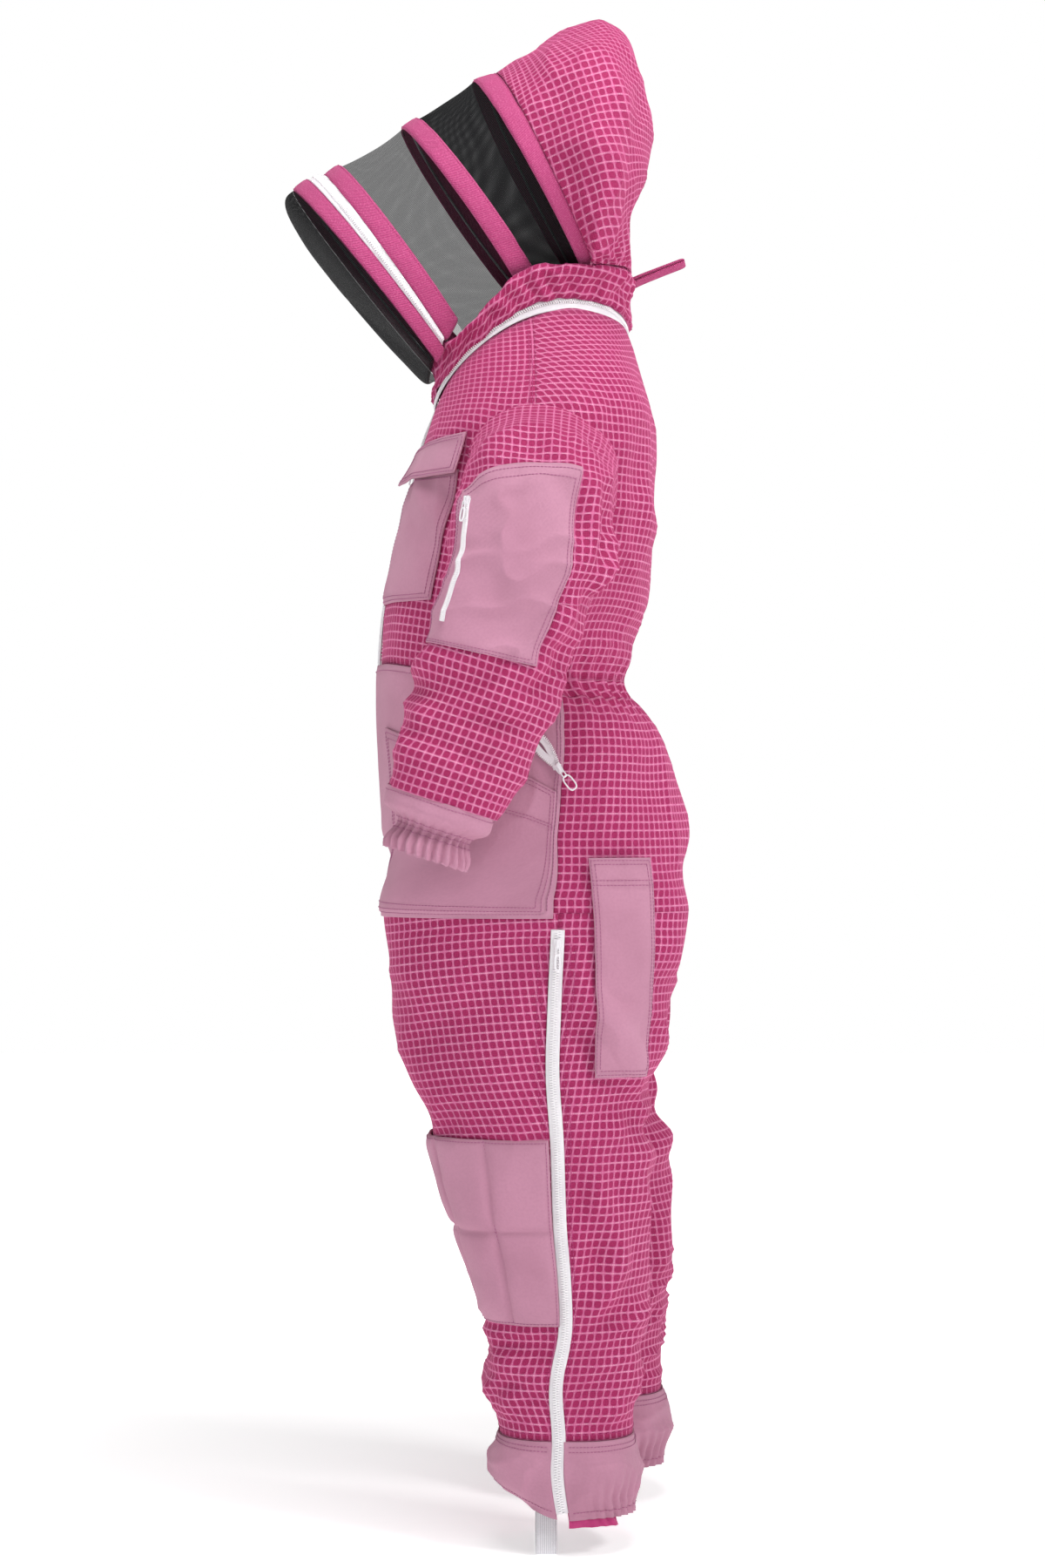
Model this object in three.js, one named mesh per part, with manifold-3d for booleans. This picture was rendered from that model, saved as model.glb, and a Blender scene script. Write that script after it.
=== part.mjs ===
// Ventilated beekeeping suit: a coverall with a hooped veil hood, as separate sewn panels.
// Millimetres, +Z up. Front is -Y and the wearer's left is +X. The origin is the point
// on the floor between the wearer's feet.
import * as THREE from 'three';
import { mergeVertices } from 'three/addons/utils/BufferGeometryUtils.js';
import Module from 'manifold-3d';

const wasm = await Module();
wasm.setup();

// ---- driving dimensions ----
const FABRIC = 3;            // three-layer ventilated fabric
const TRIM = 2;              // twill bands and zip tapes
const SEAM_GAP = 0.6;        // between neighbouring panels
const LAYER_GAP = 3;         // between a panel and what is sewn on it
const KNEE_GAP = 5;          // between the trouser leg and its knee patch
const CROTCH = 700;          // height of the crotch seam
const WAIST = 952;           // height of the waist seam
const NECK = 1310;           // height of the neck seam at its centre
const HEM_SEAM = 127;        // height of the seam above the ankle cuff
const ARMHOLE_X = 207.5;     // plane of the sleeve's first edge
const UNDERARM = 1062;       // height of the underarm
const STRIDE = 42;           // how far the right foot stands behind the left
const VEIL_HALF_WIDTH = 128;
const HOOP_SWEEP = 135;      // degrees each hoop runs down from its top
const ZIP_WIDTH = 12;

const PINK = 0xe9aebb;
const LIGHT_PINK = 0xf0cfd6;
const TWILL_PINK = 0xe58fa6;
const BLACK_MESH = 0x17171a;
const WHITE = 0xf1eff0;
const ELASTIC_WHITE = 0xe3e1e4;

const deg = THREE.MathUtils.degToRad;
const lerp = THREE.MathUtils.lerp;
const smooth = THREE.MathUtils.smoothstep;
const vec = (x, y, z) => new THREE.Vector3(x, y, z);
const suit = new THREE.Group();

// ---- solids from surfaces ----

// Drops collapsed triangles and turns the faces outwards.
function closed(geometry) {
  geometry.deleteAttribute('normal');
  geometry.deleteAttribute('uv');
  const merged = mergeVertices(geometry, 1e-3);
  const index = merged.index.array;
  const position = merged.attributes.position;
  const kept = [];
  let volume = 0;
  for (let i = 0; i < index.length; i += 3) {
    const [a, b, c] = [index[i], index[i + 1], index[i + 2]];
    if (a === b || b === c || c === a) continue;
    kept.push(a, b, c);
    const corner = [a, b, c].map((k) => vec().fromBufferAttribute(position, k));
    volume += corner[0].dot(corner[1].cross(corner[2]));
  }
  if (volume < 0) {
    for (let i = 0; i < kept.length; i += 3) {
      [kept[i], kept[i + 1]] = [kept[i + 1], kept[i]];
    }
  }
  merged.setIndex(kept);
  return merged;
}

// The point of a surface, moved out along its normal.
function offsetPoint(surface, u, v, out) {
  const step = 1e-3;
  const [u0, u1] = [u - step, u + step];
  const [v0, v1] = [v - step, v + step];
  const along = surface(u1, v).sub(surface(u0, v));
  const across = surface(u, v1).sub(surface(u, v0));
  const normal = along.cross(across).normalize();
  return surface(u, v).addScaledVector(normal, out);
}

// A sheet of cloth: the surface over u, v in 0..1, between two offsets from it.
function sheet(surface, nu, nv, inner, outer) {
  const geometry = new THREE.BoxGeometry(1, 1, 1, nu, nv, 1);
  const position = geometry.attributes.position;
  for (let i = 0; i < position.count; i += 1) {
    const u = position.getX(i) + 0.5;
    const v = position.getY(i) + 0.5;
    const out = position.getZ(i) > 0 ? outer : inner;
    const point = offsetPoint(surface, u, v, out);
    position.setXYZ(i, point.x, point.y, point.z);
  }
  return closed(geometry);
}

// A tube of cloth: u runs round it and v along it. A domed one closes to a point at v = 1.
function tube(surface, nu, nv, inner, outer, domed = false) {
  const wall = [];
  for (let j = 0; j <= nv; j += 1) wall.push([j / nv, outer]);
  for (let j = nv; j >= 0; j -= 1) wall.push([j / nv, inner]);
  if (domed) wall.push(...wall.splice(0, nv + 1));
  else wall.push(wall[0]);
  const profile = wall.map(([v, out]) => new THREE.Vector2(1 + out, v));
  const geometry = new THREE.LatheGeometry(profile, nu);
  const position = geometry.attributes.position;
  for (let i = 0; i < position.count; i += 1) {
    const [v, out] = wall[i % wall.length];
    const u = (Math.floor(i / wall.length) % nu) / nu;
    const atPole = domed && v === 1;
    const point = atPole ? surface(0, 1, out) : offsetPoint(surface, u, v, out);
    position.setXYZ(i, point.x, point.y, point.z);
  }
  return closed(geometry);
}

function toManifold(geometry) {
  return new wasm.Manifold(new wasm.Mesh({
    numProp: 3,
    vertProperties: new Float32Array(geometry.attributes.position.array),
    triVerts: new Uint32Array(geometry.index.array),
  }));
}

function cut(geometry, ...cutters) {
  let solid = toManifold(geometry);
  for (const cutter of cutters) solid = solid.subtract(toManifold(cutter));
  const mesh = solid.getMesh();
  const result = new THREE.BufferGeometry();
  result.setAttribute('position', new THREE.BufferAttribute(mesh.vertProperties, 3));
  result.setIndex(Array.from(mesh.triVerts));
  return result;
}

function add(name, geometry, color, roughness = 0.85) {
  const material = new THREE.MeshStandardMaterial({ color, roughness, metalness: 0 });
  const mesh = new THREE.Mesh(geometry, material);
  mesh.name = name;
  suit.add(mesh);
}

// Reads a table of sections by its first value, straight between rows.
function between(rows, at) {
  const last = rows.length - 1;
  let k = 0;
  while (k < last - 1 && at > rows[k + 1].at) k += 1;
  const t = (at - rows[k].at) / (rows[k + 1].at - rows[k].at);
  const section = {};
  for (const key of Object.keys(rows[k])) section[key] = lerp(rows[k][key], rows[k + 1][key], t);
  return section;
}

// A point of a rounded-square section: angle 0 is the front, 90 the outer side.
function roundSquare(angle, power) {
  const s = Math.sin(deg(angle));
  const c = Math.cos(deg(angle));
  const size = (Math.abs(s) ** power + Math.abs(c) ** power) ** (-1 / power);
  return [s * size, c * size];
}

// ---- the body of the coverall ----
// at: height at the middle; front, back: depth; half: half width; tilt: rise to the back;
// lift: rise at the sides.
const TORSO = [
  { at: 690, front: -115, back: 226, half: 197, tilt: 0, lift: 0 },
  { at: 790, front: -117, back: 226, half: 197, tilt: 0, lift: 0 },
  { at: 850, front: -121, back: 215, half: 194, tilt: 0, lift: 0 },
  { at: 905, front: -124, back: 194, half: 186, tilt: 0, lift: 0 },
  { at: 952, front: -124, back: 157, half: 174, tilt: 0, lift: 0 },
  { at: 1050, front: -117, back: 180, half: 190, tilt: 0.02, lift: 0 },
  { at: 1150, front: -94, back: 192, half: 199, tilt: 0.05, lift: 0 },
  { at: 1215, front: -80.6, back: 190, half: 202, tilt: 0.12, lift: 0 },
  { at: 1262, front: -72, back: 180, half: 194, tilt: 0.22, lift: 0 },
  { at: 1295, front: -63, back: 168, half: 140, tilt: 0.33, lift: 28 },
  { at: 1310, front: -58, back: 158, half: 92, tilt: 0.386, lift: 60 },
];
const TORSO_SQUARENESS = 2.7;

function torso(angle, height) {
  const s = between(TORSO, height);
  const [side, front] = roundSquare(angle, TORSO_SQUARENESS);
  const middle = (s.front + s.back) / 2;
  const y = middle - (front * (s.back - s.front)) / 2;
  const side2 = Math.sin(deg(angle)) ** 2;
  return vec(s.half * side, y, s.at + s.tilt * (y - middle) + s.lift * side2);
}

// A patch of the torso: angles from..to, heights low..high.
function torsoPatch(from, to, low, high) {
  return (u, v) => torso(lerp(from, to, u), lerp(low, high, v));
}

// The armhole is cut through both halves of the torso's side.
const ARMHOLE = { y: 59, z: 1158, halfY: 83, halfZ: 92 };
function armholeCutter(side) {
  const cutter = new THREE.CylinderGeometry(1, 1, 1, 20);
  cutter.rotateZ(Math.PI / 2);
  cutter.scale(100, ARMHOLE.halfY, ARMHOLE.halfZ);
  cutter.translate(side * 205, ARMHOLE.y, ARMHOLE.z);
  return closed(cutter);
}

const ZIP_HALF_ANGLE = 3;
const FRONT_EDGE = 4.6;
const SIDE_SEAM = 104;         // angle of the seam behind the hip panel
for (const [name, side] of [['left', 1], ['right', -1]]) {
  const frontPatch = torsoPatch(side * FRONT_EDGE, side * 89.7, WAIST + SEAM_GAP, NECK);
  add(`front_panel_${name}`,
    cut(sheet(frontPatch, 9, 11, -side * FABRIC, 0), armholeCutter(side)), PINK);
  const hipPatch = torsoPatch(side * FRONT_EDGE, side * SIDE_SEAM, CROTCH + SEAM_GAP, WAIST - SEAM_GAP);
  add(`hip_panel_${name}`, sheet(hipPatch, 7, 5, -side * FABRIC, 0), LIGHT_PINK);
}
const backPatch = torsoPatch(90.3, 269.7, WAIST + 12, NECK);
add('back_panel',
  cut(sheet(backPatch, 16, 9, -FABRIC, 0), armholeCutter(1), armholeCutter(-1)), PINK);
const seatPatch = torsoPatch(SIDE_SEAM + 1, 359 - SIDE_SEAM, CROTCH + SEAM_GAP, WAIST - 13);
add('seat_panel', sheet(seatPatch, 14, 5, -FABRIC, 0), PINK);
const waistPatch = torsoPatch(SIDE_SEAM + 1, 359 - SIDE_SEAM, WAIST - 12, WAIST + 11);
add('waist_elastic', sheet(waistPatch, 14, 1, -FABRIC, 0), PINK);
const frontZipPatch = torsoPatch(-ZIP_HALF_ANGLE, ZIP_HALF_ANGLE, CROTCH + 20, NECK - 4);
add('front_zip', sheet(frontZipPatch, 2, 12, -TRIM, 0), WHITE, 0.5);

const chestPocketPatch = torsoPatch(19, 56, 1045, 1190);
add('chest_pocket', sheet(chestPocketPatch, 6, 3, LAYER_GAP, 6), PINK);
const chestFlapPatch = torsoPatch(17, 58, 1186, 1240);
const flapLift = (v) => 7.5 + 7 * (1 - v);
const chestFlap = (u, v) => offsetPoint(chestFlapPatch, u, v, flapLift(v));
add('chest_flap', sheet(chestFlap, 6, 2, 0, 2.5), LIGHT_PINK);

// ---- legs ----
const LEG = [
  { at: 40, front: 20, back: 170, mid: 121, half: 70 },
  { at: 93, front: 9, back: 168, mid: 121, half: 70 },
  { at: 127, front: 14, back: 163, mid: 121, half: 66 },
  { at: 190, front: -3, back: 170, mid: 119, half: 71 },
  { at: 246, front: 3, back: 175, mid: 117, half: 75 },
  { at: 300, front: -10, back: 177, mid: 114, half: 80 },
  { at: 365, front: -36, back: 180, mid: 111, half: 84 },
  { at: 455, front: -62, back: 184, mid: 108, half: 88 },
  { at: 520, front: -88, back: 194, mid: 105, half: 91 },
  { at: 600, front: -105, back: 210, mid: 102, half: 93 },
  { at: 700, front: -115, back: 225, mid: 101, half: 96 },
  { at: 790, front: -117, back: 226, mid: 101, half: 96 },
];
const LEG_SQUARENESS = 2.5;

function leg(side, angle, height) {
  const s = between(LEG, height);
  const [outward, front] = roundSquare(angle, LEG_SQUARENESS);
  const back = side < 0 ? STRIDE * (1 - smooth(height, 250, 700)) : 0;
  const y = (s.front + s.back) / 2 - (front * (s.back - s.front)) / 2 + back;
  return vec(side * (s.mid + s.half * outward), y, height);
}

function zipAngle(height) {
  return lerp(82, 98, smooth(height, 60, 500));
}

// Angles are measured from the zip line: from and to are added to it.
function legPatch(side, from, to, low, high) {
  return (u, v) => {
    const height = lerp(low, high, v);
    return leg(side, zipAngle(height) + lerp(from, to, u), height);
  };
}

// The cuff's lower edge is cut higher over the instep.
function hemHeight(angle, v) {
  const instep = 32 * Math.max(Math.cos(deg(angle)), 0) ** 2;
  return lerp(43 + instep, HEM_SEAM - SEAM_GAP, v);
}

// A flat elastic strap under the sole, from one side of the cuff to the other.
const STRAP = { width: 23, thick: 2, y: 66, low: 47, high: 191, top: 41.5 };
function stirrup(side) {
  const outline = new THREE.Shape();
  const { low, high, top, thick } = STRAP;
  const slant = 9;
  outline.moveTo(low, top);
  outline.lineTo(low + slant, 4);
  outline.lineTo(low + slant + 6, 0);
  outline.lineTo(high - slant - 6, 0);
  outline.lineTo(high - slant, 4);
  outline.lineTo(high, top);
  outline.lineTo(high - thick, top);
  outline.lineTo(high - slant - thick, 5);
  outline.lineTo(high - slant - 7, thick);
  outline.lineTo(low + slant + 7, thick);
  outline.lineTo(low + slant + thick, 5);
  outline.lineTo(low + thick, top);
  const geometry = new THREE.ExtrudeGeometry(outline, { depth: STRAP.width, bevelEnabled: false });
  geometry.rotateX(Math.PI / 2);
  const back = side < 0 ? STRIDE : 0;
  geometry.translate(0, STRAP.y + STRAP.width / 2 + back, 0);
  if (side < 0) geometry.scale(-1, 1, 1);
  return closed(geometry);
}

const LEG_TOP = CROTCH - SEAM_GAP;
for (const [name, side] of [['left', 1], ['right', -1]]) {
  const legSheet = (from, to, low, high, nu, nv, inner, outer) => {
    const offsets = side > 0 ? [inner, outer] : [-inner, -outer];
    return sheet(legPatch(side, from, to, low, high), nu, nv, ...offsets);
  };
  add(`leg_front_${name}`,
    legSheet(-176, -5, HEM_SEAM + SEAM_GAP, LEG_TOP, 9, 11, -FABRIC, 0), PINK);
  add(`leg_back_${name}`,
    legSheet(5, 182, HEM_SEAM + SEAM_GAP, LEG_TOP, 9, 11, -FABRIC, 0), PINK);
  add(`leg_zip_${name}`, legSheet(-2.8, 2.8, 52, LEG_TOP - 20, 2, 14, -TRIM, 0), WHITE, 0.5);
  add(`knee_patch_${name}`,
    legSheet(-145, -6, 246, 452, 10, 6, KNEE_GAP, KNEE_GAP + 6), LIGHT_PINK);
  const hem = (u, v) => {
    const angle = zipAngle(90) + lerp(6, 354, u);
    return leg(side, angle, hemHeight(angle, v));
  };
  const hemOffsets = side > 0 ? [-FABRIC, 0] : [FABRIC, 0];
  add(`hem_cuff_${name}`, sheet(hem, 18, 3, ...hemOffsets), LIGHT_PINK);
  add(`stirrup_${name}`, stirrup(side), ELASTIC_WHITE, 0.7);
}
const toolPocketPatch = (u, v) => {
  const height = lerp(523, 762, v);
  const angle = lerp(lerp(18, 10.5, v), lerp(44, 33.5, v), u);
  return leg(1, zipAngle(height) + angle, height);
};
add('tool_pocket', sheet(toolPocketPatch, 6, 6, LAYER_GAP, 9), LIGHT_PINK);

// ---- sleeves ----
const UPPER_END = 972;
const LOWER_START = 900;
const CUFF_SEAM = 822;
const CUFF_END = 763;
// at: height; mid, half: depth; x, halfX: width; lean: fall to the back
const ARM = [
  { at: 822, mid: -46, half: 59, x: 257, halfX: 47, lean: 0.33 },
  { at: 900, mid: -14, half: 70, x: 260, halfX: 50, lean: 0.33 },
  { at: 945, mid: 4, half: 76, x: 261, halfX: 52, lean: 0.3 },
  { at: 1000, mid: 20, half: 78, x: 261, halfX: 52.5, lean: 0.16 },
  { at: 1062, mid: 43, half: 84, x: 261, halfX: 53, lean: 0 },
];
const CUFF = [
  { at: 763, mid: -63, half: 37, x: 256, halfX: 34, lean: 0.33 },
  { at: 796, mid: -53, half: 46, x: 256.5, halfX: 40, lean: 0.33 },
  { at: 822, mid: -46, half: 59, x: 257, halfX: 47, lean: 0.33 },
];
const SLEEVE_HEAD = 0.45;      // share of the upper sleeve that turns over the shoulder
const SHOULDER_TOP = 1253;
const ARM_SQUARENESS = 2.3;

function armSection(rows, side, angle, height) {
  const s = between(rows, height);
  const [outward, front] = roundSquare(angle, ARM_SQUARENESS);
  const y = s.mid - front * s.half;
  return vec(side * (s.x + s.halfX * outward), y, height - s.lean * (y - s.mid));
}

// The sleeve head turns about the underarm from the upright armhole to the level arm.
function sleeveHead(side, angle, turn) {
  const swing = deg(90 * (1 - turn));
  const reachX = 261 + 53 - ARMHOLE_X;
  const reachZ = SHOULDER_TOP - UNDERARM;
  const reach = 1 / Math.hypot(Math.sin(swing) / reachZ, Math.cos(swing) / reachX);
  const half = reach / 2 - 1;
  const [outward, front] = roundSquare(angle, ARM_SQUARENESS);
  const radius = 2 + half + half * outward;
  const y = lerp(ARMHOLE.y, 43, turn) - front * 84;
  return vec(side * (ARMHOLE_X + radius * Math.cos(swing)), y,
    UNDERARM + radius * Math.sin(swing));
}

function upperSleeve(side, angle, v) {
  if (v <= SLEEVE_HEAD) return sleeveHead(side, angle, v / SLEEVE_HEAD);
  const height = lerp(UNDERARM, UPPER_END, (v - SLEEVE_HEAD) / (1 - SLEEVE_HEAD));
  return armSection(ARM, side, angle, height);
}

for (const [name, side] of [['left', 1], ['right', -1]]) {
  const inside = side * FABRIC;
  const around = (u) => 360 * u;
  const armTube = (rows, high, low, nv) =>
    tube((u, v) => armSection(rows, side, around(u), lerp(high, low, v)), 16, nv, inside, 0);
  add(`sleeve_upper_${name}`,
    tube((u, v) => upperSleeve(side, around(u), v), 16, 9, inside, 0), PINK);
  add(`sleeve_elbow_${name}`,
    armTube(ARM, UPPER_END - SEAM_GAP, LOWER_START + SEAM_GAP, 2), PINK);
  add(`sleeve_lower_${name}`, armTube(ARM, LOWER_START, CUFF_SEAM + 2, 2), PINK);
  add(`sleeve_cuff_${name}`, armTube(CUFF, CUFF_SEAM - 1, CUFF_END, 3), LIGHT_PINK);
}
const sleevePocket = (u, v) => upperSleeve(1, lerp(lerp(18, 30, v), lerp(120, 124, v), u),
  lerp(0.985, 0.18, v));
add('sleeve_pocket', sheet(sleevePocket, 8, 8, LAYER_GAP, 7), PINK);

// ---- veil hood ----
// Each hoop leans forward: its top and its two lower ends, in the middle plane (y, z).
const HOOPS = {
  crown: { top: [10, 1654], end: [119, 1428] },
  rearFront: { top: [-18, 1646], end: [101, 1428] },
  middleBack: { top: [-81, 1603], end: [49, 1425] },
  middleFront: { top: [-100, 1591], end: [28, 1411] },
  frontBack: { top: [-169, 1549], end: [-35, 1367] },
  frontFront: { top: [-189, 1537], end: [-49, 1342] },
  zipFront: { top: [-205, 1533], end: [-50, 1334] },
  noseFront: { top: [-223, 1520], end: [-59, 1318] },
};

function hoopPoint(hoop, turn) {
  const drop = (1 - Math.cos(deg(turn))) / (1 - Math.cos(deg(HOOP_SWEEP)));
  return vec(VEIL_HALF_WIDTH * Math.sin(deg(turn)),
    lerp(hoop.top[0], hoop.end[0], drop), lerp(hoop.top[1], hoop.end[1], drop));
}

function hoopBlend(back, front, t) {
  return {
    top: [lerp(back.top[0], front.top[0], t), lerp(back.top[1], front.top[1], t)],
    end: [lerp(back.end[0], front.end[0], t), lerp(back.end[1], front.end[1], t)],
  };
}

// A band or mesh from one hoop to the next, kept a seam's gap short at each edge.
function hoodBand(back, front, nu, nv, thickness, edge = 0.02) {
  const surface = (u, v) => hoopPoint(
    hoopBlend(back, front, lerp(edge, 1 - edge, v)), lerp(-HOOP_SWEEP, HOOP_SWEEP, u));
  return sheet(surface, nu, nv, -thickness, 0);
}

// The crown closes the back of the hood in a soft dome with a peak above.
const CROWN_POLE = [176, 1570];
const PEAK_RISE = 60;
const NAPE_TUCK = 28;
function crown(u, v, out = 0) {
  const grow = deg(90 * v);
  const rim = HOOPS.crown;
  const middle = [(rim.top[0] + rim.end[0]) / 2, (rim.top[1] + rim.end[1]) / 2];
  const up = Math.cos(deg(360 * u));
  const bulge = Math.sin(2 * grow) * up * up;
  const ring = Math.cos(grow);
  const along = Math.sin(grow);
  const y = middle[0] + (up * ring * (rim.top[0] - rim.end[0])) / 2
    + along * (CROWN_POLE[0] - middle[0]) - (up < 0 ? NAPE_TUCK * bulge : 0);
  const z = middle[1] + (up * ring * (rim.top[1] - rim.end[1])) / 2
    + along * (CROWN_POLE[1] - middle[1]) + (up > 0 ? PEAK_RISE * bulge : 0);
  return vec(VEIL_HALF_WIDTH * ring * Math.sin(deg(360 * u)), y + out, z);
}

// The collar hangs from the hood's lower edge to the neck zip.
const COLLAR = { mid: 52, halfY: 111, halfX: 104, front: 1336, back: 1423 };
const COLLAR_SQUARENESS = 4;

function neckRing(angle, rise) {
  const base = torso(angle, NECK);
  return vec(base.x, base.y, base.z + rise);
}

function collar(angle, v) {
  const low = neckRing(angle, 10);
  const [side, front] = roundSquare(angle, COLLAR_SQUARENESS);
  const y = COLLAR.mid - front * COLLAR.halfY;
  const z = lerp(COLLAR.front, COLLAR.back, smooth(y, -55, 60));
  const point = low.lerp(vec(COLLAR.halfX * side, y, z), v);
  point.x += 9 * Math.sin(Math.PI * v) * Math.sin(deg(angle));
  return point;
}

// The neck opening is cleared through the crown's underside.
const neckCutter = new THREE.CylinderGeometry(1, 1, 1, 24);
neckCutter.rotateX(Math.PI / 2);
neckCutter.scale(114, 118, 120);
neckCutter.translate(0, 54, 1370);
add('hood_crown', cut(tube(crown, 18, 7, -FABRIC, 0, true), closed(neckCutter)), PINK);
add('hood_collar', tube((u, v) => collar(360 * u, v), 24, 3, -FABRIC, 0), PINK);

const neckZip = (low, high) => (u, v) => {
  const angle = lerp(8, 352, u);
  return neckRing(angle, lerp(low, high, v));
};
add('neck_zip_lower', sheet(neckZip(0.6, 3.4), 24, 1, -TRIM, 0), WHITE, 0.5);
add('neck_zip_upper', sheet(neckZip(4, 7.2), 24, 1, -TRIM, 0), WHITE, 0.5);

const H = HOOPS;
const rows = [
  ['band_rear', H.crown, H.rearFront, 1, 0.05, TWILL_PINK],
  ['mesh_rear', H.rearFront, H.middleBack, 2, 0.01, BLACK_MESH],
  ['band_middle', H.middleBack, H.middleFront, 1, 0.04, TWILL_PINK],
  ['mesh_middle', H.middleFront, H.frontBack, 2, 0.01, BLACK_MESH],
  ['band_front', H.frontBack, H.frontFront, 1, 0.04, TWILL_PINK],
  ['veil_zip_inner', H.frontFront, hoopBlend(H.frontFront, H.zipFront, 0.5), 1, 0.12, WHITE],
  ['veil_zip_outer', hoopBlend(H.frontFront, H.zipFront, 0.5), H.zipFront, 1, 0.12, WHITE],
  ['band_nose', H.zipFront, H.noseFront, 1, 0.04, TWILL_PINK],
];
for (const [name, back, front, steps, edge, color] of rows) {
  add(name, hoodBand(back, front, 14, steps, TRIM, edge), color);
}

// The front veil: a fine mesh dish below the nose band, hinged at the chin.
const CHIN = [-67, 1304];
const DISH_DEPTH = 26;
function noseRim(turn) {
  if (Math.abs(turn) <= HOOP_SWEEP) return hoopPoint(H.noseFront, turn);
  const t = smooth(Math.abs(turn), HOOP_SWEEP, 180);
  const end = hoopPoint(H.noseFront, HOOP_SWEEP);
  return vec(VEIL_HALF_WIDTH * Math.sin(deg(turn)), lerp(end.y, CHIN[0], t), lerp(end.z, CHIN[1], t));
}

function dish(u, v, out = 0) {
  const turn = 360 * u > 180 ? 360 * u - 360 : 360 * u;
  const rim = noseRim(turn);
  const middle = vec(0, (H.noseFront.top[0] + CHIN[0]) / 2, (H.noseFront.top[1] + CHIN[1]) / 2);
  const forward = vec(0, -0.79, -0.61);
  const grow = deg(90 * v);
  rim.addScaledVector(forward, 1);
  rim.lerp(middle, 1 - Math.cos(grow));
  return rim.addScaledVector(forward, DISH_DEPTH * Math.sin(grow) + out);
}
add('mesh_nose', tube(dish, 18, 5, 0, TRIM, true), BLACK_MESH);

// Spring hoops run inside the bands and hold the veil off the face.
function hoopWire(back, front) {
  const hoop = hoopBlend(back, front, 0.5);
  const points = [];
  for (let k = 0; k <= 16; k += 1) {
    const turn = lerp(-HOOP_SWEEP + 4, HOOP_SWEEP - 4, k / 16);
    const point = hoopPoint(hoop, turn);
    const middle = vec(0, (hoop.top[0] + hoop.end[0]) / 2, (hoop.top[1] + hoop.end[1]) / 2);
    points.push(point.lerp(middle, 0.06));
  }
  const section = new THREE.Shape().absarc(0, 0, 1.6, 0, 2 * Math.PI);
  const extrudePath = new THREE.CatmullRomCurve3(points);
  return closed(new THREE.ExtrudeGeometry(section, { steps: 16, curveSegments: 3, extrudePath }));
}
add('hoop_rear', hoopWire(H.crown, H.rearFront), WHITE, 0.4);
add('hoop_middle', hoopWire(H.middleBack, H.middleFront), WHITE, 0.4);
add('hoop_front', hoopWire(H.frontBack, H.frontFront), WHITE, 0.4);
add('hoop_nose', hoopWire(H.zipFront, H.noseFront), WHITE, 0.4);

// A folded tape at the back of the collar to hang the suit by.
const loopOutline = new THREE.Shape();
loopOutline.moveTo(164, 1420);
loopOutline.lineTo(226, 1444);
loopOutline.lineTo(227, 1440);
loopOutline.lineTo(164, 1414);
const loopTape = new THREE.ExtrudeGeometry(loopOutline, { depth: 12, bevelEnabled: false });
loopTape.applyMatrix4(new THREE.Matrix4().set(0, 0, 1, -6, 1, 0, 0, 0, 0, 1, 0, 0, 0, 0, 0, 1));
add('hanging_loop', closed(loopTape), TWILL_PINK);

// ---- zip sliders ----
const SLIDER = { wide: 9, long: 14, thick: 3, pull: 24 };
// A slider with its pull, at the first point of its run along the zip.
function slider(name, [start, end], out, rise) {
  const { wide, long, thick, pull } = SLIDER;
  const outline = new THREE.Shape();
  outline.moveTo(-wide / 2, long / 2);
  outline.lineTo(wide / 2, long / 2);
  outline.lineTo(wide / 2, -long / 2);
  outline.lineTo(wide / 3, -long / 2 - pull);
  outline.lineTo(-wide / 3, -long / 2 - pull);
  outline.lineTo(-wide / 2, -long / 2);
  const geometry = new THREE.ExtrudeGeometry(outline, { depth: thick, bevelEnabled: false });
  const up = start.clone().sub(end).normalize();
  if (up.z < 0) up.negate();
  const side = up.clone().cross(out).normalize();
  const face = side.clone().cross(up).normalize();
  geometry.applyMatrix4(new THREE.Matrix4().makeBasis(side, up, face));
  const place = start.clone().addScaledVector(face, rise);
  geometry.translate(place.x, place.y, place.z);
  add(name, closed(geometry), WHITE, 0.35);
}

const FRONT_ZIP_RUN = [torso(0, 1232), torso(0, 1075)];
slider('front_slider', FRONT_ZIP_RUN, vec(0, -1, 0), 1.5);

// A slanted zip in each hip panel lets a hand through to the pocket beneath.
const HIP_ZIP = { from: [93.2, 903], to: [101.5, 857], half: 8 };
for (const [name, side] of [['left', 1], ['right', -1]]) {
  const out = vec(side, 0, 0);
  const legRun = [668, 530].map((height) => leg(side, zipAngle(height), height));
  slider(`leg_slider_${name}`, legRun, out, 3);
  const hipZip = (u, v) => torso(side * lerp(HIP_ZIP.from[0], HIP_ZIP.to[0], u),
    lerp(HIP_ZIP.from[1], HIP_ZIP.to[1], u) + lerp(-HIP_ZIP.half, HIP_ZIP.half, v));
  const offsets = [LAYER_GAP, LAYER_GAP + TRIM].map((rise) => side * rise);
  add(`hip_zip_${name}`, sheet(hipZip, 4, 1, ...offsets), WHITE, 0.5);
  slider(`hip_slider_${name}`, [hipZip(1, 0.5), hipZip(0.1, 0.5)], out, 8);
}
const SLEEVE_ZIP_RUN = [upperSleeve(1, 46, 0.2), upperSleeve(1, 44, 0.36)];
slider('sleeve_slider', SLEEVE_ZIP_RUN, vec(0.8, -0.6, 0), 11);

export default suit;
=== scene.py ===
"""Ventilated beekeeping suit: sewn panels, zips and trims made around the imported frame."""
import math

import bmesh
import bpy
import numpy as np
from mathutils import Matrix, Vector, noise


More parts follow.
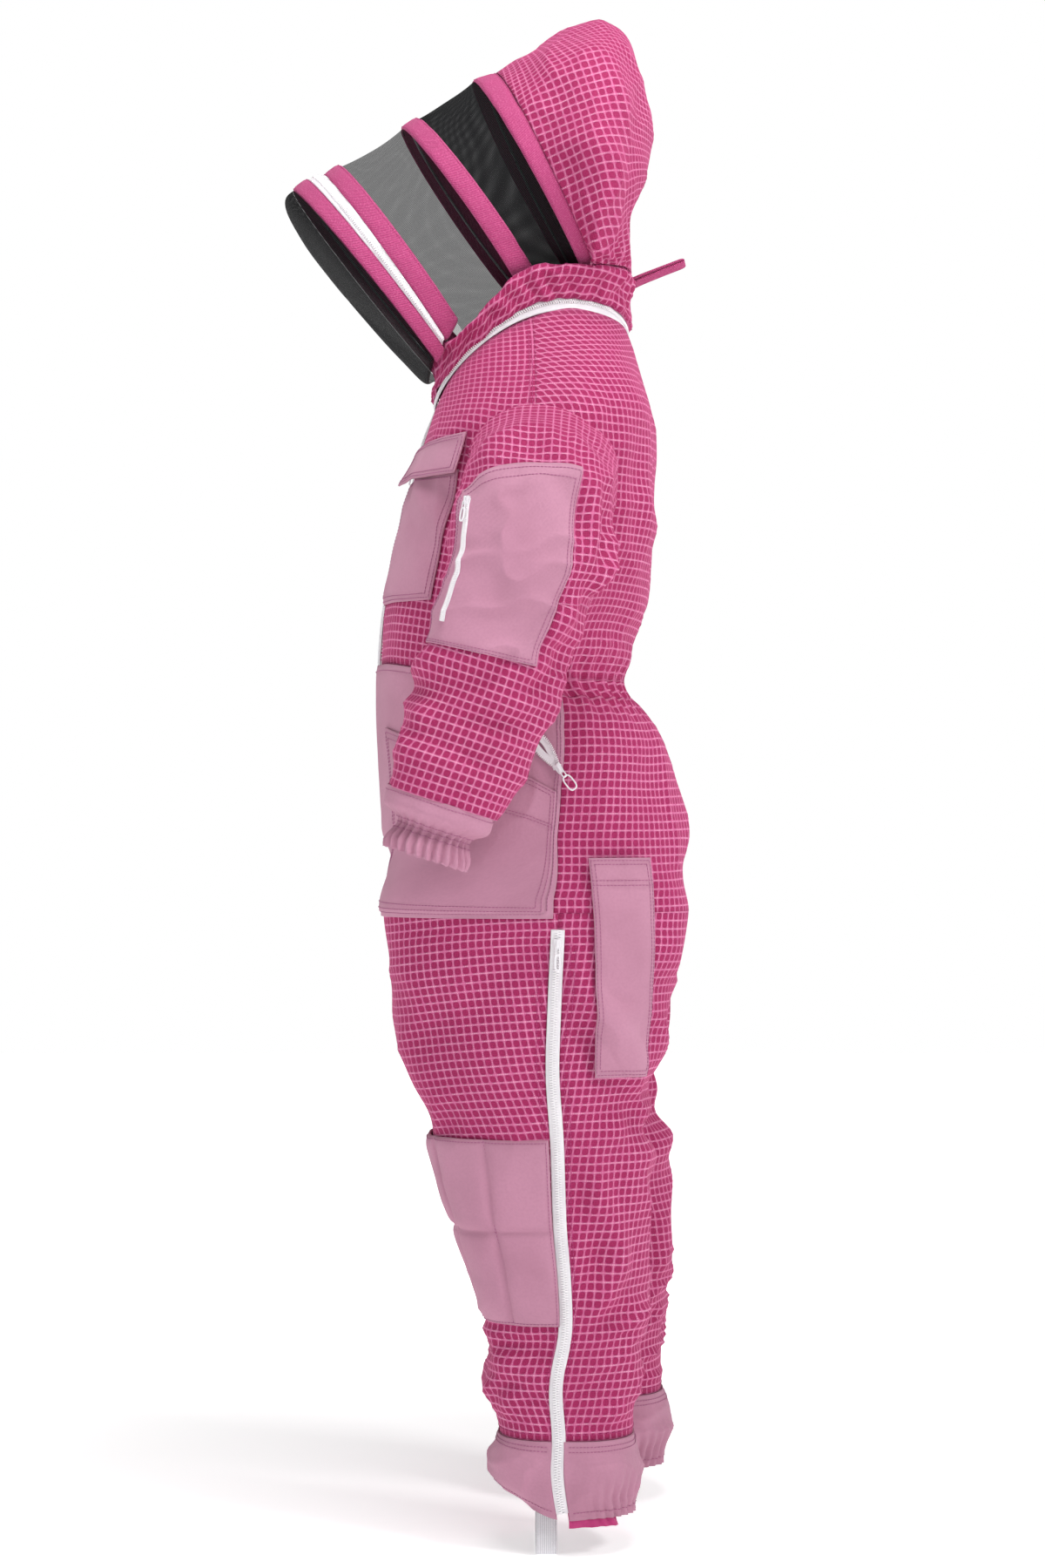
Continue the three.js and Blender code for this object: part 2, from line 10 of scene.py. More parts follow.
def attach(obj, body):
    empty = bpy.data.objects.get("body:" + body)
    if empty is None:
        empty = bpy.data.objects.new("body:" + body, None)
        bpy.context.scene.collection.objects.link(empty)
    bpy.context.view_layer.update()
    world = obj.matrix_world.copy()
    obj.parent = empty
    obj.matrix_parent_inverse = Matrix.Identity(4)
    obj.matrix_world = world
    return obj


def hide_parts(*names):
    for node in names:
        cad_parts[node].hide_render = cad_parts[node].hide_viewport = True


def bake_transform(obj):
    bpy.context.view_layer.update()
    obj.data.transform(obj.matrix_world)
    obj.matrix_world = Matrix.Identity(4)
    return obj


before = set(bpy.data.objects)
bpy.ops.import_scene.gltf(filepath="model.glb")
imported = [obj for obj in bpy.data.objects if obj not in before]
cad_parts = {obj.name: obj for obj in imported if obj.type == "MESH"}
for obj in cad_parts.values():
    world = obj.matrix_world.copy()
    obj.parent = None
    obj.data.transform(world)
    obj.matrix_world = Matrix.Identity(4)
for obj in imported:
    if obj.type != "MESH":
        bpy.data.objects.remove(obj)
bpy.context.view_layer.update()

MM = 0.001

# ---- real sizes in millimetres ----
FABRIC = 2.6             # three-layer ventilated fabric
COTTON = 1.4             # plain cotton, hemmed double
TAPE = 1.2               # twill and zip tapes
CELL = 8.6               # one cell of the ventilated fabric, along a row
ROW = 9.2                # from one row of cells to the next
CROTCH = 700
WAIST = 952
NECK = 1310
HEM_SEAM = 127
ARMHOLE_X = 204
UNDERARM = 1062
SHOULDER_TOP = 1255
STRIDE = 42              # the right foot stands this far behind the left
VEIL_HALF_WIDTH = 128
HOOP_SWEEP = 135
OPENING = 1.9            # angle from the middle of the front zip to each front edge
SLEEVE_HEAD = 0.45       # share of the upper sleeve that turns over the shoulder
SIDES = ((1, "left"), (-1, "right"))      # which way X runs on each side
SIDE_SEAM = np.array([(690, 92.6), (717, 92.8), (790, 97.5), (838, 100.6), (903, 107), (952, 116)], float)


# ---------------------------------------------------------------- materials
def linear(hex_code):
    """An sRGB hex colour as the linear colour a shader takes."""
    parts = [int(hex_code[i:i + 2], 16) / 255 for i in (1, 3, 5)]
    return [c / 12.92 if c <= 0.04045 else ((c + 0.055) / 1.055) ** 2.4 for c in parts] + [1.0]


def add_node(material, kind, settings=None, values=None, links=None):
    """One shader node with its settings, its input values and its input links."""
    tree = material.node_tree
    node = tree.nodes.new(kind)
    for key, value in (settings or {}).items():
        setattr(node, key, value)
    for key, value in (values or {}).items():
        node.inputs[key].default_value = value
    for key, (source, output) in (links or {}).items():
        tree.links.new(source.outputs[output], node.inputs[key])
    return node


def math_node(material, operation, first, second=0.5, third=None):
    """A Math node on (node, output) pairs or plain numbers."""
    values, links = {}, {}
    for slot, given in enumerate([first, second, third]):
        if isinstance(given, tuple):
            links[slot] = given
        elif given is not None:
            values[slot] = given
    return add_node(material, "ShaderNodeMath", {"operation": operation}, values, links), 0


def new_material(name, values):
    """A material with a Principled shader, and the shader itself."""
    material = bpy.data.materials.new(name)
    material.use_nodes = True
    shader = material.node_tree.nodes["Principled BSDF"]
    for key, value in values.items():
        shader.inputs[key].default_value = value
    return material, shader


def uv_in_cells(material, width, height):
    """The piece's own UV map, in metres of cloth, counted in cells of a size in millimetres."""
    source = add_node(material, "ShaderNodeUVMap", {"uv_map": "cloth"})
    scaled = add_node(material, "ShaderNodeMapping", {},
                      {"Scale": (1 / (width * MM), 1 / (height * MM), 1)}, {"Vector": (source, 0)})
    split = add_node(material, "ShaderNodeSeparateXYZ", {}, {}, {0: (scaled, 0)})
    return scaled, (split, 0), (split, 1)


def from_cell_centre(material, coordinate):
    """How far a point is from the middle of its cell, 0 to 0.5."""
    part = math_node(material, "FRACT", coordinate, None)
    return math_node(material, "ABSOLUTE", math_node(material, "SUBTRACT", part, 0.5), None)


def colour_mix(material, factor, first, second):
    """Two colours mixed. Each is an sRGB hex string or a (node, output) pair."""
    values, links = {}, {}
    for socket, given in ((0, factor), (6, first), (7, second)):
        if isinstance(given, tuple):
            links[socket] = given
        else:
            values[socket] = linear(given) if isinstance(given, str) else given
    return add_node(material, "ShaderNodeMix", {"data_type": "RGBA"}, values, links), 2


def ramp_between(material, value, low, high, start=0.0, end=1.0):
    return add_node(material, "ShaderNodeMapRange", {"interpolation_type": "SMOOTHSTEP"},
                    {"From Min": low, "From Max": high, "To Min": start, "To Max": end},
                    {"Value": value}), 0


def noise_at(material, coordinates, scale, detail=2.0):
    node = add_node(material, "ShaderNodeTexNoise", {}, {"Scale": scale, "Detail": detail},
                    {"Vector": coordinates})
    return node, 0


def link(material, source, target, socket):
    material.node_tree.links.new(source[0].outputs[source[1]], target.inputs[socket])


def bump(material, shader, height, distance, strength=1.0):
    node = add_node(material, "ShaderNodeBump", {}, {"Distance": distance, "Strength": strength},
                    {"Height": height})
    link(material, (node, 0), shader, "Normal")


def ventilated_fabric(name="three-layer ventilated mesh fabric, warp knitted"):
    # Round cells of open netting show the darker layer behind. The ground between them is
    # smooth pink knit, with a dotted line of pale shiny yarn along every row and column; noise
    # brightens and dims that yarn as a painted glint. The loose fibres give a pink sheen at the edges.
    material, shader = new_material(name, {
        "Roughness": 0.75, "IOR": 1.5, "Sheen Weight": 0.5, "Sheen Roughness": 0.4,
        "Sheen Tint": linear("#ff7db6"), "Specular IOR Level": 0.25})
    cells, along, up = uv_in_cells(material, CELL, ROW)
    side = from_cell_centre(material, along)
    rise = from_cell_centre(material, up)
    power = 2.8
    sum_of_powers = math_node(material, "ADD", math_node(material, "POWER", side, power),
                              math_node(material, "POWER", rise, power))
    size = math_node(material, "POWER", sum_of_powers, 1 / power)
    ground = ramp_between(material, size, 0.355, 0.415)
    # netting holes about 1.4 mm apart inside each cell
    holes = add_node(material, "ShaderNodeTexVoronoi", {"feature": "F1", "distance": "EUCLIDEAN"},
                     {"Scale": 5.4, "Randomness": 0.2}, {"Vector": (cells, 0)})
    hole = ramp_between(material, (holes, 0), 0.10, 0.42)
    cell_colour = colour_mix(material, hole, "#660f37", "#a3265b")
    # the pale yarn: dots along the rows, fainter ones along the columns
    row_dots = ramp_between(material, from_cell_centre(
        material, math_node(material, "MULTIPLY", along, 5.0, None)), 0.16, 0.34, 1.0, 0.25)
    column_dots = ramp_between(material, from_cell_centre(
        material, math_node(material, "MULTIPLY", up, 5.0, None)), 0.16, 0.34, 0.7, 0.15)
    in_row = math_node(material, "MULTIPLY", ramp_between(material, rise, 0.405, 0.455), row_dots)
    in_column = math_node(material, "MULTIPLY", ramp_between(material, side, 0.42, 0.465), column_dots)
    # painted glint: random brightening of the pale yarn, standing in for highlights on its fibres
    glint = ramp_between(material, noise_at(material, (cells, 0), 1.3, 2.0), 0.35, 0.65, 0.3, 0.85)
    pale = math_node(material, "MULTIPLY", math_node(material, "MAXIMUM", in_row, in_column), glint)
    ground_colour = colour_mix(material, pale, "#c35588", "#f0b8d1")
    colour = colour_mix(material, ground, cell_colour, ground_colour)
    broad = noise_at(material, (cells, 0), 0.035)
    shade = ramp_between(material, broad, 0.3, 0.7, 0.0, 0.25)
    colour = colour_mix(material, shade, colour, "#9c235a")
    link(material, colour, shader, "Base Color")
    height = math_node(material, "ADD", ground, math_node(material, "MULTIPLY", hole, 0.25, None))
    bump(material, shader, math_node(material, "ADD", height, math_node(
        material, "MULTIPLY", pale, 0.3, None)), 1.0 * MM)
    return material


def woven_cotton(name, colour, darker, thread=1.1):
    # Plain-weave cotton: matt, with a fine over-and-under grain and soft uneven dyeing.
    # The grain is drawn about twice as coarse as the real threads, so that it shows.
    material, shader = new_material(name, {
        "Roughness": 0.86, "IOR": 1.5, "Sheen Weight": 0.25, "Sheen Roughness": 0.5,
        "Sheen Tint": linear("#ffd7e4"), "Specular IOR Level": 0.3})
    cells, along, up = uv_in_cells(material, thread, thread)
    side = from_cell_centre(material, along)
    rise = from_cell_centre(material, up)
    grain = math_node(material, "MULTIPLY", side, rise)
    broad = noise_at(material, (cells, 0), 0.012, 3.0)
    fine = noise_at(material, (cells, 0), 0.35, 2.0)
    shade = ramp_between(material, broad, 0.35, 0.7, 0.0, 0.55)
    base = colour_mix(material, shade, colour, darker)
    base = colour_mix(material, ramp_between(material, fine, 0.3, 0.75, 0.0, 0.22), base, darker)
    link(material, base, shader, "Base Color")
    height = math_node(material, "ADD", math_node(material, "MULTIPLY", grain, 4.0),
                       math_node(material, "MULTIPLY", fine, 0.6))
    bump(material, shader, height, 0.35 * MM)
    return material


def twill_tape(name="cotton twill tape, woven in diagonal ribs"):
    # Close diagonal ribs about 2 mm apart, with painted light on their crests and painted shade in the
    # grooves between them.
    material, shader = new_material(name, {
        "Roughness": 0.8, "IOR": 1.5, "Sheen Weight": 0.35, "Sheen Roughness": 0.4,
        "Sheen Tint": linear("#ffa6c9"), "Specular IOR Level": 0.3})
    cells, along, up = uv_in_cells(material, 2.2, 2.2)
    diagonal = math_node(material, "ADD", along, up)
    rib = from_cell_centre(material, diagonal)
    crest = ramp_between(material, rib, 0.12, 0.42)
    fine = noise_at(material, (cells, 0), 1.2, 2.0)
    # painted light and shade: the paler colour on the raised crests, the darker one in the low grooves
    colour = colour_mix(material, crest, "#c44b83", "#95285c")
    colour = colour_mix(material, ramp_between(material, fine, 0.4, 0.8, 0.0, 0.4), colour, "#e283ae")
    link(material, colour, shader, "Base Color")
    bump(material, shader, math_node(material, "SUBTRACT", 1.0, crest), 0.4 * MM)
    return material


def veil_netting(name, open_half, haze):
    # Fine square netting, 1.5 mm from thread to thread. The far side shows through it dimly.
    # Haze is the fuzz of the fibres, which dims the holes too.
    material, shader = new_material(name, {
        "Roughness": 0.8, "IOR": 1.5, "Base Color": linear("#0c0c0e"), "Specular IOR Level": 0.1})
    _, along, up = uv_in_cells(material, 1.5, 1.5)
    nearest = math_node(material, "MAXIMUM", from_cell_centre(material, along),
                        from_cell_centre(material, up))
    alpha = ramp_between(material, nearest, open_half - 0.03, open_half + 0.03, haze, haze + 0.3)
    link(material, alpha, shader, "Alpha")
    return material


def moulded_plastic(name, colour, roughness):
    # Moulded zip plastic: smooth and slightly uneven, with worn, duller high spots.
    material, shader = new_material(name, {"Roughness": roughness, "IOR": 1.46})
    place = add_node(material, "ShaderNodeTexCoord")
    speck = noise_at(material, (place, 3), 900.0, 2.0)
    tint = ramp_between(material, speck, 0.35, 0.7, 0.0, 0.35)
    link(material, colour_mix(material, tint, colour, "#d9d3d8"), shader, "Base Color")
    link(material, ramp_between(material, speck, 0.3, 0.7, roughness - 0.08, roughness + 0.1),
         shader, "Roughness")
    bump(material, shader, speck, 0.05 * MM)
    return material


def knitted_elastic(name="knitted elastic webbing"):
    # Lengthwise ribs 1.6 mm apart with rubber cores, slightly grey from use.
    material, shader = new_material(name, {
        "Roughness": 0.75, "IOR": 1.5, "Sheen Weight": 0.2, "Specular IOR Level": 0.3})
    _, along, up = uv_in_cells(material, 1.6, 3.0)
    rib = from_cell_centre(material, along)
    stitch = from_cell_centre(material, up)
    crest = ramp_between(material, rib, 0.1, 0.45)
    link(material, colour_mix(material, crest, "#eeecf0", "#b9b6bc"), shader, "Base Color")
    bump(material, shader, math_node(material, "ADD", crest, stitch), 0.3 * MM)
    return material


def spring_wire(name="drawn spring steel wire"):
    # Drawn wire: bright, with faint lengthwise scratches.
    material, shader = new_material(name, {
        "Metallic": 1.0, "Roughness": 0.35, "Base Color": linear("#a9aaad")})
    place = add_node(material, "ShaderNodeTexCoord")
    scratch = noise_at(material, (place, 3), 600.0, 3.0)
    link(material, ramp_between(material, scratch, 0.3, 0.7, 0.25, 0.5), shader, "Roughness")
    return material


VENTILATED = ventilated_fabric()
COTTON_PINK = woven_cotton("plain-weave cotton, pale pink", "#bf879f", "#a87389")
# this pink thread is drawn darker than the real thread, as painted shade along the stitch lines
THREAD_PINK_SEAM_SHADED = woven_cotton("spun polyester sewing thread, pink", "#a9658a", "#93527a", 0.8)
THREAD_DEEP = woven_cotton("spun polyester sewing thread, deep pink", "#b53c78", "#992a62", 0.8)
GUSSET = woven_cotton("plain-weave cotton, magenta", "#c2407c", "#a02a62")
TWILL = twill_tape()
NETTING = veil_netting("black polyester veil netting", 0.36, 0.42)
NETTING_CLOSE = veil_netting("black polyester veil netting, close weave", 0.3, 0.68)
ZIP_WHITE = moulded_plastic("moulded acetal zip teeth, white", "#f6f4f6", 0.4)
ZIP_TAPE = woven_cotton("woven polyester zip tape, white", "#f2f0f3", "#d8d4da", 0.9)
# the slider's white is tinted slightly grey as painted shade
SLIDER_WHITE = moulded_plastic("enamelled zinc zip slider, white", "#e3e1e5", 0.3)
ELASTIC = knitted_elastic()
WIRE = spring_wire()

# Cloths: what each is made of, its thickness and the name of its slot.
MESH_CLOTH = (VENTILATED, FABRIC, "ventilated_fabric")
COTTON_CLOTH = (COTTON_PINK, COTTON, "plain_cotton")
BAND_TAPE = (TWILL, 2.2, "twill_tape")
NET = (NETTING, 0, "veil_mesh")
CLOSE_NET = (NETTING_CLOSE, 0, "veil_mesh")
ZIP_CLOTH = (ZIP_TAPE, TAPE, "zip_chain")


# ---------------------------------------------------------------- sewn shapes
# Sections of the coverall, as its solids have them. Rows: height, front, back, half width,
# tilt (rise to the back) and lift (rise at the sides), in millimetres.
TORSO = np.array([
    (690, -115, 226, 197, 0, 0), (790, -117, 226, 197, 0, 0), (850, -121, 215, 194, 0, 0),
    (905, -124, 194, 186, 0, 0), (952, -124, 157, 174, 0, 0), (1050, -117, 180, 190, .02, 0),
    (1150, -94, 192, 199, .05, 0), (1215, -80.6, 190, 202, .12, 0), (1262, -72, 180, 194, .22, 0),
    (1295, -63, 168, 140, .33, 28), (1310, -58, 158, 92, .386, 60)], float)
# Rows: height, front, back, middle and half width.
LEG = np.array([
    (40, 20, 170, 121, 70), (93, 9, 168, 121, 70), (127, 14, 163, 121, 66),
    (190, -3, 170, 119, 71), (246, 3, 175, 117, 75), (300, -10, 177, 114, 80),
    (365, -36, 180, 111, 84), (455, -62, 184, 108, 88), (520, -88, 194, 105, 91),
    (600, -105, 210, 102, 93), (700, -115, 225, 101, 96), (790, -117, 226, 101, 96)], float)
# Rows: height, middle and half depth, middle and half width, lean (fall to the back).
ARM = np.array([
    (763, -63, 37, 256, 34, .33), (796, -53, 46, 256.5, 40, .33), (822, -46, 59, 257, 47, .33),
    (900, -14, 70, 260, 50, .33), (945, 4, 76, 261, 52, .3), (1000, 20, 78, 261, 52.5, .16),
    (1062, 43, 84, 261, 53, 0)], float)


def section(rows, height):
    """The columns of a table at each height, on a smooth curve through its rows."""
    height = np.clip(height, rows[0, 0], rows[-1, 0])
    k = np.clip(np.searchsorted(rows[:, 0], height) - 1, 0, len(rows) - 2)
    slopes = np.gradient(rows[:, 1:], rows[:, 0], axis=0)
    step = rows[k + 1, 0] - rows[k, 0]
    t = ((height - rows[k, 0]) / step)[..., None]
    low, high = rows[k, 1:], rows[k + 1, 1:]
    rise = step[..., None]
    value = ((2 * t**3 - 3 * t**2 + 1) * low + (t**3 - 2 * t**2 + t) * rise * slopes[k]
             + (3 * t**2 - 2 * t**3) * high + (t**3 - t**2) * rise * slopes[k + 1])
    return np.moveaxis(value, -1, 0)


def round_square(angle, power):
    """A rounded square: angle 0 is the front, 90 the outer side."""
    s, c = np.sin(np.radians(angle)), np.cos(np.radians(angle))
    size = (np.abs(s) ** power + np.abs(c) ** power) ** (-1 / power)
    return s * size, c * size


def smoothstep(x, low, high):
    t = np.clip((x - low) / (high - low), 0, 1)
    return t * t * (3 - 2 * t)


def mix(low, high, t):
    return low + (high - low) * t


def points(x, y, z):
    return np.stack(np.broadcast_arrays(x, y, z), -1).astype(float)


def unit(vectors):
    vectors = np.asarray(vectors, float)
    return vectors / np.maximum(np.linalg.norm(vectors, axis=-1, keepdims=True), 1e-9)


def distances(path):
    """How far along a path each of its points lies."""
    return np.concatenate([[0], np.cumsum(np.linalg.norm(np.diff(path, axis=0), axis=1))])


def torso(angle, height):
    front, back, half, tilt, lift = section(TORSO, height)
    side, ahead = round_square(angle, 2.7)
    middle = (front + back) / 2
    y = middle - ahead * (back - front) / 2
    whole = points(half * side, y, height + tilt * (y - middle) + lift * np.sin(np.radians(angle)) ** 2)
    # towards the crotch the outline parts into the two legs
    turned = np.abs((np.asarray(angle, float) + 180) % 360 - 180)
    sign = np.where((np.asarray(angle, float) % 360) > 180, -1, 1)
    parted = leg(sign, 2 * turned - 90, np.asarray(height, float))
    return mix(whole, parted, (1 - smoothstep(height, CROTCH, 790))[..., None])


def leg(side, angle, height):
    front, back, middle, half = section(LEG, height)
    out, ahead = round_square(angle, 2.5)
    shift = np.where(np.asarray(side) > 0, 0, STRIDE * (1 - smoothstep(height, 250, 700)))
    y = (front + back) / 2 - ahead * (back - front) / 2 + shift
    return points(side * (middle + half * out), y, height)


def zip_angle(height):
    return mix(82, 98, smoothstep(height, 60, 500))


def lower_sleeve(side, angle, height):
    middle, half, across, half_across, lean = section(ARM, height)
    out, ahead = round_square(angle, 2.3)
    y = middle - ahead * half
    return points(side * (across + half_across * out), y, height - lean * (y - middle))


def torso_side(y, z):
    """How far out the torso's side is at a depth and height."""
    front, back, half = section(TORSO, z)[:3]
    ahead = np.clip(np.abs((front + back) / 2 - y) / ((back - front) / 2), 0, 0.999)
    return half * (1 - ahead ** 2.7) ** (1 / 2.7)


def sleeve(side, angle, v):
    """v from 0 at the armhole seam to 1 at the elbow. The head turns over the shoulder."""
    turn = np.clip(v / SLEEVE_HEAD, 0, 1)
    swing = np.radians(90 * (1 - turn))
    reach = 1 / np.hypot(np.sin(swing) / (SHOULDER_TOP - UNDERARM), np.cos(swing) / (314 - ARMHOLE_X))
    out, ahead = round_square(angle, 2.3)
    radius = 2 + (reach / 2 - 1) * (1 + out)
    x = ARMHOLE_X + radius * np.cos(swing)
    y = mix(59, 43, turn) - ahead * 84
    z = UNDERARM + radius * np.sin(swing)
    x = mix(np.minimum(torso_side(y, z) - 3, x), x, smoothstep(v, 0, 0.13))
    height = mix(UNDERARM, 972, np.clip((v - SLEEVE_HEAD) / (1 - SLEEVE_HEAD), 0, 1))
    arm = lower_sleeve(side, angle, height)
    return np.where((v <= SLEEVE_HEAD)[..., None], points(side * x, y, z), arm)


# ---------------------------------------------------------------- folds
def ridged(where, size, stretch, seed):
    """Sharp-crested noise at each point: size in mm, stretched along some axes."""
    scaled = where / (size * np.asarray(stretch, float)) + seed * 7.31
    flat = scaled.reshape(-1, 3)
    soft = np.array([noise.noise(Vector(p)) for p in flat]).reshape(where.shape[:-1])
    return (1 - np.abs(soft) * 2.2) ** 2 - 0.45


def rolling(where, size, seed):
    flat = (where / size + seed * 3.77).reshape(-1, 3)
    return np.array([noise.noise(Vector(p)) for p in flat]).reshape(where.shape[:-1])


def fold(where, at, along, length, width, height):
    """One soft fold: a rounded ridge with a hollow on each side."""
    along = unit(along)
    rel = where - np.asarray(at, float)
    run = rel @ along
    off = np.linalg.norm(rel - run[..., None] * along, axis=-1)
    bend = np.exp(-(run / length) ** 2)
    profile = np.exp(-(off / width) ** 2) - 0.45 * np.exp(-((off - 1.7 * width) / width) ** 2)
    return height * bend * profile


def normals_of(grid):
    across = np.gradient(grid, axis=1)
    up = np.gradient(grid, axis=0)
    return unit(np.cross(across, up))


def cloth_lengths(grid):
    """How far each point lies along its row and its column: the cloth's own measure."""
    rows = np.linalg.norm(np.diff(grid, axis=1), axis=-1)
    columns = np.linalg.norm(np.diff(grid, axis=0), axis=-1)
    along = np.concatenate([np.zeros((grid.shape[0], 1)), np.cumsum(rows, 1)], 1)
    up = np.concatenate([np.zeros((1, grid.shape[1])), np.cumsum(columns, 0)], 0)
    middle = along[:, grid.shape[1] // 2][:, None]
    return along - middle, up


def put(obj, body, slot_name, replaced=()):
    if body:
        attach(obj, body)
    if replaced:
        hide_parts(*replaced)


def finish_mesh(name, bm, material, smooth=True):
    mesh = bpy.data.meshes.new(name)
    bm.to_mesh(mesh)
    bm.free()
    mesh.materials.append(material)
    mesh.polygons.foreach_set("use_smooth", [smooth] * len(mesh.polygons))
    obj = bpy.data.objects.new(name, mesh)
    bpy.context.scene.collection.objects.link(obj)
    return obj


def sheet_from_grid(name, grid, material, thickness, outward=1, wrap=False, measure=None):
    """A sheet of cloth on a grid of points in mm (rows up, columns along), with its thickness
    laid inwards. wrap closes the last column on the first. measure gives the cloth's own
    lengths along and up at each point, where the grid's lines don't follow the weave."""
    rows, columns = grid.shape[0] - 1, grid.shape[1] - 1
    bm = bmesh.new()
    bmesh.ops.create_grid(bm, x_segments=columns, y_segments=rows, size=0.5)
    along, up = measure or cloth_lengths(grid)
    places = {}
    for vert in bm.verts:
        i = round((vert.co.y + 0.5) * rows)
        j = round((vert.co.x + 0.5) * columns)
        places[vert] = (i, j)
    layer = bm.loops.layers.uv.new("cloth")
    for face in bm.faces:
        for loop in face.loops:
            i, j = places[loop.vert]
            loop[layer].uv = (along[i, j] * MM, up[i, j] * MM)
    for vert, (i, j) in places.items():
        vert.co = Vector(grid[i, j]) * MM
    if wrap:
        bmesh.ops.remove_doubles(bm, verts=bm.verts, dist=0.02 * MM)
    if outward < 0:
        bmesh.ops.reverse_faces(bm, faces=bm.faces)
    obj = finish_mesh(name, bm, material)
    if thickness:
        solid = obj.modifiers.new("thickness", "SOLIDIFY")
        solid.thickness = thickness * MM
        solid.offset = -1
    return obj


def grid_of(surface, columns, rows, u=(0, 1), v=(0, 1)):
    across, up = np.meshgrid(np.linspace(*u, columns + 1), np.linspace(*v, rows + 1))
    return surface(across, up), across, up


def panel(name, surface, columns, rows, cloth, body, shape=None, lift=0, side=1, wrap=False,
          measure=None, stands_for=None):
    """A sewn panel: surface(u, v) over 0..1, moved out by lift and by shape(points, u, v). It
    stands for the solid of its own name, unless stands_for names others."""
    material, thickness, slot_name = cloth
    grid, across, up = grid_of(surface, columns, rows)
    lengths = (measure or cloth_lengths)(grid)
    out = normals_of(grid) * side
    move = np.full(grid.shape[:2], float(lift))
    if shape is not None:
        move = move + shape(grid, across, up)
    grid = grid + out * move[..., None]
    if wrap:
        grid[:, -1] = grid[:, 0]
    obj = sheet_from_grid(name, grid, material, thickness, side, wrap, lengths)
    put(obj, body, slot_name, [name] if stands_for is None else stands_for)
    area = float(np.linalg.norm(np.cross(np.diff(grid, axis=1)[:-1], np.diff(grid, axis=0)[:, :-1]),
                                axis=-1).sum()) * MM * MM
    along, rise = cloth_lengths(grid)
    return obj


# ---------------------------------------------------------------- the coverall's panels
def from_sides(grid):
    """Lengths along the rows from the nearer side seam, and plain heights."""
    along = cloth_lengths(grid)[0]
    start = along - along[:, :1]
    return np.minimum(start, start[:, -1:] - start), grid[..., 2]


def seam_dip(u, v, width=0.02):
    """Each panel dips a little where it is turned in at its seams."""
    edge = np.minimum(np.minimum(u, 1 - u), np.minimum(v, 1 - v))
    return -1.0 * np.exp(-(edge / width) ** 2)


def torso_folds(where, u, v):
    z = where[..., 2]
    near_waist = np.exp(-((z - WAIST) / 38) ** 2)
    around = np.degrees(np.arctan2(where[..., 0], -(where[..., 1] - 20)))
    back = smoothstep(np.abs(around), 70, 110)
    gathers = (np.sin(np.radians(around) * 44 + 2.2 * np.sin(z / 19)) * 3.4 - 3.5) * near_waist * back
    slack = ridged(where, 66, (0.9, 0.9, 1.9), 3) * 4.2 * smoothstep(z, 960, 1010) \
        * (1 - smoothstep(z, 1240, 1290))
    slack = slack + rolling(where, 90, 5) * 9 * (1 - 0.7 * near_waist)
    blouse = 9 * np.exp(-((z - 985) / 22) ** 2) * back
    spot = np.concatenate([np.abs(where[..., :1]), where[..., 1:]], -1)
    for at, along, length, width, height in (
            ((190, 120, 1120), (-.1, .35, -1), 90, 15, 9), ((180, 150, 1090), (-.1, .2, -1), 110, 14, 8),
            ((165, 172, 1060), (0, .1, -1), 110, 15, 7), ((195, 95, 1075), (0, .5, -1), 70, 14, 8),
            ((150, -60, 1150), (.5, .4, -.7), 60, 15, 5), ((120, 195, 1150), (.2, 0, -1), 120, 18, 6)):
        blouse = blouse + fold(spot, at, along, length, width, height)
    return gathers + slack * (0.45 + 0.55 * back) + blouse + seam_dip(u, v)


def hip_folds(where, u, v):
    z = where[..., 2]
    around = np.degrees(np.arctan2(where[..., 0], -(where[..., 1] - 20)))
    near_waist = smoothstep(z, 860, WAIST)
    back = smoothstep(np.abs(around), 85, 115)
    gathers = (np.sin(np.radians(around) * 44 + 2.2 * np.sin(z / 19)) * 3.4 - 3.5) \
        * np.exp(-((z - WAIST) / 30) ** 2) * back
    slack = ridged(where, 70, (1.0, 1.0, 1.7), 8) * 3.4 + rolling(where, 90, 9) * 8
    low = smoothstep(z, 700, 770)
    return gathers + slack * (0.3 + 0.7 * back) * (1 - 0.6 * near_waist) * low \
        + seam_dip(u, np.maximum(v, 0.5))


def side_seam(height):
    """Angle of the seam behind each hip panel."""
    return np.interp(height, SIDE_SEAM[:, 0], SIDE_SEAM[:, 1])


def waist_line(angle):
    """Height of the waist seam, which rises to the front."""
    return WAIST + 5 + 19 * (1 - smoothstep(angle, 30, 88))


def hip_surface(side):
    def surface(u, v):
        height = mix(696, waist_line(mix(OPENING, 116, u)), v)
        return torso(side * mix(OPENING, side_seam(height) + 0.4, u), height)
    return surface


def front_half(side):
    def surface(u, v):
        angle = mix(OPENING, 90, u)
        return torso(side * angle, mix(waist_line(angle), NECK, v))
    return surface


def rear_surface(low, high):
    def surface(u, v):
        height = mix(low, high, v)
        edge = side_seam(height)
        return torso(mix(edge, 360 - edge, u), height)
    return surface


for side, name in SIDES:
    panel(f"front_panel_{name}", front_half(side), 44, 52, MESH_CLOTH, "garment", torso_folds,
          side=side)
    panel(f"hip_panel_{name}", hip_surface(side), 46, 44, COTTON_CLOTH, "garment", hip_folds, lift=2.9,
          side=side)
panel("back_panel", lambda u, v: torso(mix(90, 270, u), mix(WAIST + 5, NECK, v)), 160, 54, MESH_CLOTH,
      "garment", torso_folds)
panel("waist_elastic", rear_surface(WAIST - 13, WAIST + 6.5), 200, 8, MESH_CLOTH, "garment",
      torso_folds, lift=-1)
panel("seat_panel", rear_surface(702.1, WAIST - 12), 170, 50, MESH_CLOTH, "garment", hip_folds,
      measure=from_sides)


